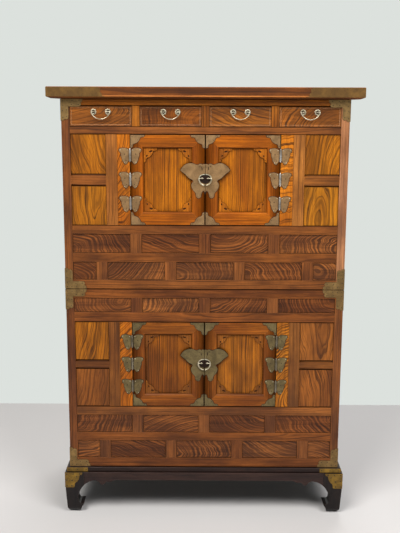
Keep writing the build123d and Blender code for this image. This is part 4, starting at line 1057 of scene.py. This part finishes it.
def door_plates(tier, side):
    """A door's corner plates, and its half of the lock plate with the rim over its pull."""
    door = f"{tier}_{side}_door"
    lo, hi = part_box(f"{door}_frame")
    w, h = CORNER_W, CORNER_H
    lobes = triangle_lobes(w, h)
    points = [(5, 5), (0.84 * w, 3.6), (3.6, 0.84 * h), (0.52 * w, 0.38 * h)]
    shape = Shape()
    for place, sx, sz in corner_planes(lo, hi, lo.y, PLATE_IN * MM):
        # Films of old wax with a painted shadow round the corner plates.
        shape.film(WAX_AND_SHADOW, rounded(flipped([(FILM_IN, FILM_IN), *lobes], sx, sz), LOBED), place, FILM_OUT)
        shape.sheet(PLATE[tier], [rounded(flipped([(0, 0), *lobes], sx, sz), LOBED)], place)
        shape.nails(NAIL_DARK, flipped(points, sx, sz), raised(place, SHEET), 0.8)
    lock_half(shape, PLATE[tier], lo.y, AXIS[f"{door}_pull_pivot"], SIDES[side])
    shape.finish(f"{door}_plates", "brass")


def quarter(width, height):
    """A quarter of an ellipse, from its side up to the edge where the doors meet."""
    bend = [math.radians(90 * i / 8) for i in range(8)]
    return [(width * math.cos(a), height * math.sin(a)) for a in bend] + [(LOCK_EDGE, height)]


def lock_half(shape, material, face, axis, s):
    """Half of the butterfly over the door's meeting edge: plate, body, feelers, rim and the pull's eye."""
    points = LOCK_HEAD + LOCK_WING + LOCK_TAIL
    inset = [(x + FILM_IN, y) for x, y in points[:2]] + points[2:]
    holes = [circle(s * 10.3, 30, 6.5, 12, 0.2, math.radians(90 - s * 8)), circle(s * 16.5, 35, 1.9, 12)]
    place = upright(0, face, axis.z)
    front = raised(place, SHEET)
    # Film of old wax with a painted shadow round the lock plate.
    shape.film(WAX_AND_SHADOW, rounded(flipped(inset, s), (0, 1)), place, FILM_OUT)
    shape.sheet(material, [rounded(flipped(points, s), (0, 1)), *holes], place)
    for outline in (LOCK_BODY, LOCK_BELOW):
        shape.sheet(material, [rounded(flipped(outline, s), (0, 1))], front, 1.4 * MM, 0.6 * MM)
    curl = []
    for i in range(13):
        share = 0.35 + 0.65 * i / 12
        u = CURL_AT[0] + CURL_R * share * math.cos(2.2 * math.pi * share)
        v = CURL_AT[1] + CURL_R * share * math.sin(2.2 * math.pi * share)
        curl.append(front @ Vector((s * u * MM, v * MM, 0.2 * MM)))
    shape.rod(curl, 0.8 * MM, 8)
    # The well is a film of painted shadow under the rim.
    well = quarter(WELL_R, WELL_TOP)[::-1] + [(16.5, -6), (11, -13.5), (LOCK_EDGE, -17.5)]
    rim = quarter(RIM_R, RIM_TOP) + quarter(RIM_R - RIM_W, RIM_TOP - RIM_W)[::-1]
    shape.film(WAX_AND_SHADOW, flipped(well, s * MM, MM), front)
    shape.sheet(HANDLE_BRASS, [flipped(rim, s * MM, MM)], front, RIM_H * MM, 0.7 * MM)
    ring_eye(shape, axis, axis.x, face)
    shape.nails(material, flipped(LOCK_NAILS, s), front)


# ---- handles ----
PULL_HALF_W = 19.0
PULL_DROP = 21.5
PULL_START = 5.4
PULL_NEAR = 2.4  # a pull's ring ends this far from the middle between the doors
BAIL_HALF_W = 29.0
BAIL_DROP = 22.0
BAIL_POST_X = 22.0
BAIL_START = BAIL_POST_X - 4.4
BEND_STEPS = 26
ROSETTE_R = 9.0
ROSETTE_ROWS = [(1.0, 0.0), (1.0, 0.9), (0.86, 1.6), (0.66, 1.2), (0.58, 0.5), (0.36, 0.5)]
PETALS = 8


def hanging(shape, x, axis, half, drop, start, thick, thin, s=0):
    """A handle's rod, twice half wide: in from its eye, round the end and along a bend that hangs down by
    drop. It has both sides, or the one that s says, up to the edge where the doors meet."""
    radius = (half * half + drop * drop) / (2 * drop)
    end = math.acos(1 - drop / radius)
    near = math.asin(PULL_NEAR / radius)
    first = near if s > 0 else -end
    last = -near if s < 0 else end
    points, radii = [], []
    for i in range(BEND_STEPS + 1):
        a = first + (last - first) * i / BEND_STEPS
        points.append((radius * math.sin(a), radius * (1 - math.cos(a)) - drop))
        share = abs(points[-1][0]) / half
        radii.append(thin + (thick - thin) * max(0, (share - 0.55) / 0.45) ** 2)
    eye = [(-start, 0), (-half + 3, 0), (-half + 1, -0.2)]
    eye_radii = [thin * 0.8, thin * 0.85, thick]
    if s <= 0:
        points = eye + points[1:]
        radii = eye_radii + radii[1:]
    if s >= 0:
        points = points[:-1] + flipped(eye, -1)[::-1]
        radii = radii[:-1] + eye_radii[::-1]
    shape.rod([(x + u * MM, axis.y, axis.z + v * MM) for u, v in points], [r * MM for r in radii], 12)


def pull(tier, side):
    """One of the two rings that make a half-round pull."""
    door = f"{tier}_{side}_door"
    axis = AXIS[f"{door}_pull_pivot"]
    shape = Shape(HANDLE_BRASS)
    hanging(shape, 0, axis, PULL_HALF_W, PULL_DROP, PULL_START, 2.5, 1.9, SIDES[side])
    shape.finish(f"{door}_pull", "brass", 60)


def rosette(shape, place):
    """A petalled disc with a raised rim and a dark film over its middle."""
    shape.paint(HANDLE_BRASS)
    part = bmesh.new()
    rows = []
    for share, height in ROSETTE_ROWS:
        row = []
        for a in round_angles(PETALS * 6):
            petal = abs(math.cos(a * PETALS / 2))
            r = ROSETTE_R * share * (1 - 0.13 * share * (1 - petal) ** 2)
            dip = 0.35 * (1 - petal) if 0.55 < share < 0.95 else 0
            up = height * (1 - dip)
            row.append(part.verts.new((r * math.cos(a) * MM, r * math.sin(a) * MM, up * MM)))
        rows.append(row)
    skin(part, rows)
    part.transform(place)
    shape.take(part)
    shape.film(WAX_AND_SHADOW, circle(0, 0, 0.56 * ROSETTE_R, 20), raised(place, 0.5 * MM))


def drawer_brass(number):
    """A drawer's two handle posts with their rosettes, and the bail between them."""
    name = f"drawer_{number}"
    axis = AXIS[f"{name}_bail_pivot"]
    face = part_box(f"{name}_handle_posts")[1].y
    posts = Shape()
    for s in (-1, 1):
        x = axis.x + s * BAIL_POST_X * MM
        rosette(posts, upright(x, face, axis.z))
        ring_eye(posts, axis, x, face)
    posts.finish(f"{name}_handle_posts", "brass", 60)
    bail = Shape(HANDLE_BRASS)
    hanging(bail, axis.x, axis, BAIL_HALF_W, BAIL_DROP, BAIL_START, 2.3, 1.35)
    bail.finish(f"{name}_bail", "brass", 60)


# ---- brass on the corners ----
SPLIT_IN = 1.3 * MM  # gap between a tier's end and its corner plates
ARM_T = 23.0
ARM_L = 65.0
SLAB_ARM = 168.0
SLAB_SIDE_ARM = 120.0
STRIP_L = 68.0
LEG_PLATE_W = 56.0
LEG_PLATE_H = 52.0
LEG_PLATE_FOOT = 26.0
LEG_NAILS = [(5, 5), (47, 4.5), (26, 5), (5, 26), (5, 46), (21, 46), (37, 14), (22, 28)]


def lobed_end(length, width):
    """The scalloped end of an arm, from its lower edge to its upper one."""
    ends = [(3, 0), (0, 0.12), (0, 0.34), (4.5, 0.47), (5, 0.56), (3.4, 0.7), (5.5, 0.88), (11, 1)]
    return [(length - back, share * width) for back, share in ends]


def bent_plate(shape, material, outline, nails, at, s, up, reach, thickness=SHEET, size=1.0):
    """A plate bent round an upright corner, as far along the front and the side as its reach says.
    outline(start, length) and nails(length) are drawn from the corner inward."""
    for place, sx, start, length in ((upright(*at), -s, -thickness / MM, reach[0]),
                                     (sideways(*at, s), 1, 0, reach[1])):
        points, corners = outline(start, length)
        points = rounded(flipped(points, sx, up), corners)
        # Film of old wax with a painted shadow round a bent plate.
        if thickness == SHEET:
            shape.film(WAX_AND_SHADOW, points, place, BENT_FILM_OUT)
        shape.sheet(material, [points], place, thickness, min(SHEET_EDGE, thickness * EDGE_SHARE))
        shape.nails(NAIL_DARK, flipped(nails(length), sx, up), raised(place, thickness), size)


def angle_outline(start, length):
    end = lobed_end(length, ARM_T)
    points = [(start, 0), *end, (ARM_T + 3, ARM_T), (ARM_T, ARM_T + 3)]
    points += [(x, y) for y, x in reversed(end[1:])]
    points.append((start, length))
    return points, (0, len(points) - 1)


def angle_nails(length):
    far = length - 9
    half = [(far, 5), (far - 3, 17), (35, 5), (33, 17), (20, 6)]
    return [(6, 6), *half, *((y, x) for x, y in half)]


def band_outline(height):
    def outline(start, length):
        points = [(start, height), (start, 0), *lobed_end(length, height)]
        return points, (0, 1, len(points) - 1)

    return outline


def band_nails(height):
    def nails(length):
        count = round(length / 24)
        return [(6 + (length - 16) * i / (count - 1), h) for i in range(count) for h in (4, height - 4)]

    return nails


def strip_outline(height):
    return lambda start, length: ([(start, height), (start, 0), (length, 0), (length, height)], range(4))


def strip_nails(height):
    return lambda length: [(x, height / 2) for x in (6, length / 2, length - 6)]


def leg_outline(start, length):
    lobes = triangle_lobes(length - LEG_PLATE_FOOT, LEG_PLATE_H)
    points = [(start, LEG_PLATE_H), (start, 0)] + [(LEG_PLATE_FOOT + u, v) for u, v in lobes]
    return points, (0, 1, 2, len(points) - 1)


def tier_corners(tier):
    """The lobed plates on the front corners of a tier."""
    lo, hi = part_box(f"{tier}_corner_posts")
    shape = Shape()
    for s, x in ((-1, lo.x), (1, hi.x)):
        for up, z in ((1, lo.z + SPLIT_IN), (-1, hi.z - SPLIT_IN)):
            bent_plate(shape, CORNER_BRASS, angle_outline, angle_nails, (x, lo.y, z), s, up, (ARM_L, ARM_L))
    shape.finish(f"{tier}_corner_plates", "brass")


def top_bands():
    """The bands round the top board's front corners."""
    low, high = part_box("top_board_brass")
    lo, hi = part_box("top_board")
    height = (high.z - low.z) / MM
    shape = Shape()
    for s, x in ((-1, lo.x), (1, hi.x)):
        bent_plate(shape, TOP_BRASS, band_outline(height), band_nails(height), (x, lo.y, low.z), s, 1,
                   (SLAB_ARM, SLAB_SIDE_ARM), THIN_SHEET, 0.6)
    shape.finish("top_board_brass", "brass")


def stand_plates():
    """Strips round the front corners of the stand's top frame, and plates on the legs under them."""
    lo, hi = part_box("stand_top_frame")
    legs_lo, legs_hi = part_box("stand_legs")
    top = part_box("stand_brass")[1].z
    height = 2 * top - lo.z - hi.z
    outline, nails = strip_outline(height / MM), strip_nails(height / MM)
    shape = Shape()
    for s, x, leg_x in ((-1, lo.x, legs_lo.x), (1, hi.x, legs_hi.x)):
        at = (x, lo.y, top - height)
        bent_plate(shape, STAND_BRASS, outline, nails, at, s, 1, (STRIP_L, STRIP_L), size=1.2)
        at = (leg_x, legs_lo.y, legs_hi.z - PLATE_IN * MM)
        bent_plate(shape, STAND_BRASS, leg_outline, lambda length: LEG_NAILS, at, s, -1,
                   (LEG_PLATE_W, LEG_PLATE_W), size=1.5)
    shape.finish("stand_brass", "brass")


# ---- the studio round it ----
def backdrop(name, material, corners):
    """One flat sheet of the studio."""
    bm = bmesh.new()
    bm.faces.new([bm.verts.new(corner) for corner in corners])
    mesh = bpy.data.meshes.new(name)
    bm.to_mesh(mesh)
    bm.free()
    mesh.materials.append(material)
    made = bpy.data.objects.new(name, mesh)
    bpy.context.scene.collection.objects.link(made)


def looked_at(tree):
    """1 for what the camera sees, straight or in a gloss or a glass, and 0 for the light on the chest."""
    path = node(tree, "LightPath").outputs
    seen = calc(tree, "MAXIMUM", path["Is Glossy Ray"], path["Is Transmission Ray"])
    return calc(tree, "MAXIMUM", path["Is Camera Ray"], seen)


def pale_light(tree, kind="Emission"):
    """Light in the background's own colour."""
    return node(tree, kind, {"Color": (*linear(WALL_COLOR), 1), "Strength": 1.0}).outputs[0]


def mix_shaders(tree, share, first, second, output="OutputMaterial"):
    mixed = node(tree, "MixShader", {0: share, 1: first, 2: second})
    node(tree, output, {"Surface": mixed.outputs[0]})


def world():
    made = bpy.data.worlds.new("studio")
    bpy.context.scene.world = made
    made.use_nodes = True
    tree = made.node_tree
    tree.nodes.clear()
    light = node(tree, "Background", {"Color": WORLD_COLOR, "Strength": WORLD_LIGHT}).outputs[0]
    mix_shaders(tree, looked_at(tree), light, pale_light(tree, "Background"), "OutputWorld")


def floor():
    """A pale floor that fades into the background."""
    material = new_material("floor_look")
    tree = material.node_tree
    place = node(tree, "TexCoord").outputs["Object"]
    cloud = noise(tree, place, (1.2, 1.2, 1.2), 3)
    pale = linear(FLOOR_COLOR)
    color = blend(tree, cloud, tuple(0.96 * c for c in pale), tuple(1.04 * c for c in pale))
    boards = node(tree, "BsdfPrincipled", {"Base Color": color, "Roughness": 0.75}).outputs[0]
    far = calc(tree, "DIVIDE", vector(tree, "LENGTH", place), FLOOR_SIDE)
    far = ramp(tree, far, [(FADE_FROM / FLOOR_SIDE, 0.0), (FADE_TO / FLOOR_SIDE, 1.0)])
    far = times(tree, far, node(tree, "LightPath").outputs["Is Camera Ray"])
    mix_shaders(tree, far, boards, pale_light(tree))
    side = FLOOR_SIDE
    backdrop("floor", material, [(-side, -side, 0), (side, -side, 0), (side, side, 0), (-side, side, 0)])


def wall():
    """A wall that is seen from the front alone, and gives no light."""
    material = new_material("wall_look")
    tree = material.node_tree
    behind = node(tree, "NewGeometry").outputs["Backfacing"]
    seen = times(tree, looked_at(tree), calc(tree, "SUBTRACT", 1.0, behind))
    mix_shaders(tree, seen, node(tree, "BsdfTransparent").outputs[0], pale_light(tree))
    side, y = FLOOR_SIDE, WALL_AT
    backdrop("wall", material, [(-side, y, 0), (side, y, 0), (side, y, WALL_H), (-side, y, WALL_H)])


def lamps():
    for name, place, aim, size, watts, color in LAMPS:
        data = bpy.data.lights.new(name, "AREA")
        data.shape = "RECTANGLE"
        data.size, data.size_y = size
        data.energy = watts
        data.color = color
        lamp = bpy.data.objects.new(name, data)
        lamp.location = place
        lamp.rotation_euler = (Vector(aim) - Vector(place)).to_track_quat("-Z", "Y").to_euler()
        bpy.context.scene.collection.objects.link(lamp)


def camera():
    data = bpy.data.cameras.new("camera")
    data.sensor_width = SENSOR
    data.lens = FOCAL_PX * SENSOR / PHOTO_H
    made = bpy.data.objects.new("camera", data)
    turn = Matrix.Rotation(math.radians(CAMERA_YAW), 4, "Z")
    turn = turn @ Matrix.Rotation(math.radians(90 - CAMERA_PITCH), 4, "X")
    turn = turn @ Matrix.Rotation(math.radians(CAMERA_ROLL), 4, "Z")
    made.matrix_world = Matrix.Translation(CAMERA_AT) @ turn
    scene = bpy.context.scene
    scene.collection.objects.link(made)
    scene.camera = made
    scene.view_settings.view_transform = "Standard"


# ---- the chest ----
def build():
    for tier in TIERS:
        wooden(f"{tier}_corner_posts", posts(tier))
        wooden(f"{tier}_rails", rails(tier))
        wooden(f"{tier}_uprights", uprights(tier))
        wooden(f"{tier}_front_panels", front_fields(tier))
        wooden(f"{tier}_side_panels", plain(SIDE_PANEL, ("flame", "slant")))
        wooden(f"{tier}_back_panels", plain(BACK, ("flame", "straight")))
        wooden(f"{tier}_inner_boards", inner_board)
        hinges(tier)
        for side in SIDES:
            door = f"{tier}_{side}_door"
            panel = DOOR_PANEL if tier == "upper" else DOOR_PANEL_LOW
            wooden(f"{door}_frame", *door_frame(tier, side))
            wooden(f"{door}_panel", plain(panel, ("straight",), 0, PANEL_TONES[tier][side]))
            door_plates(tier, side)
            pull(tier, side)
    for number in range(1, DRAWERS + 1):
        wooden(f"drawer_{number}_front", drawer_front)
        wooden(f"drawer_{number}_box", plain(INNER, edge=0))
        drawer_brass(number)
    wooden("top_board", plain(TOP, ("straight",), 1.4 * MM, 0.5), edge_bead)
    wooden("stand_legs", plain(STAND, ("straight",), 1.2 * MM), reshape=lower_scroll)
    wooden("stand_aprons", plain(APRON, ("straight",), 1.2 * MM))
    wooden("stand_top_frame", plain(APRON, ("straight",), 1.6 * MM, 0.3))
    for tier in TIERS:
        tier_corners(tier)
    top_bands()
    stand_plates()


build()
world()
floor()
wall()
lamps()
camera()
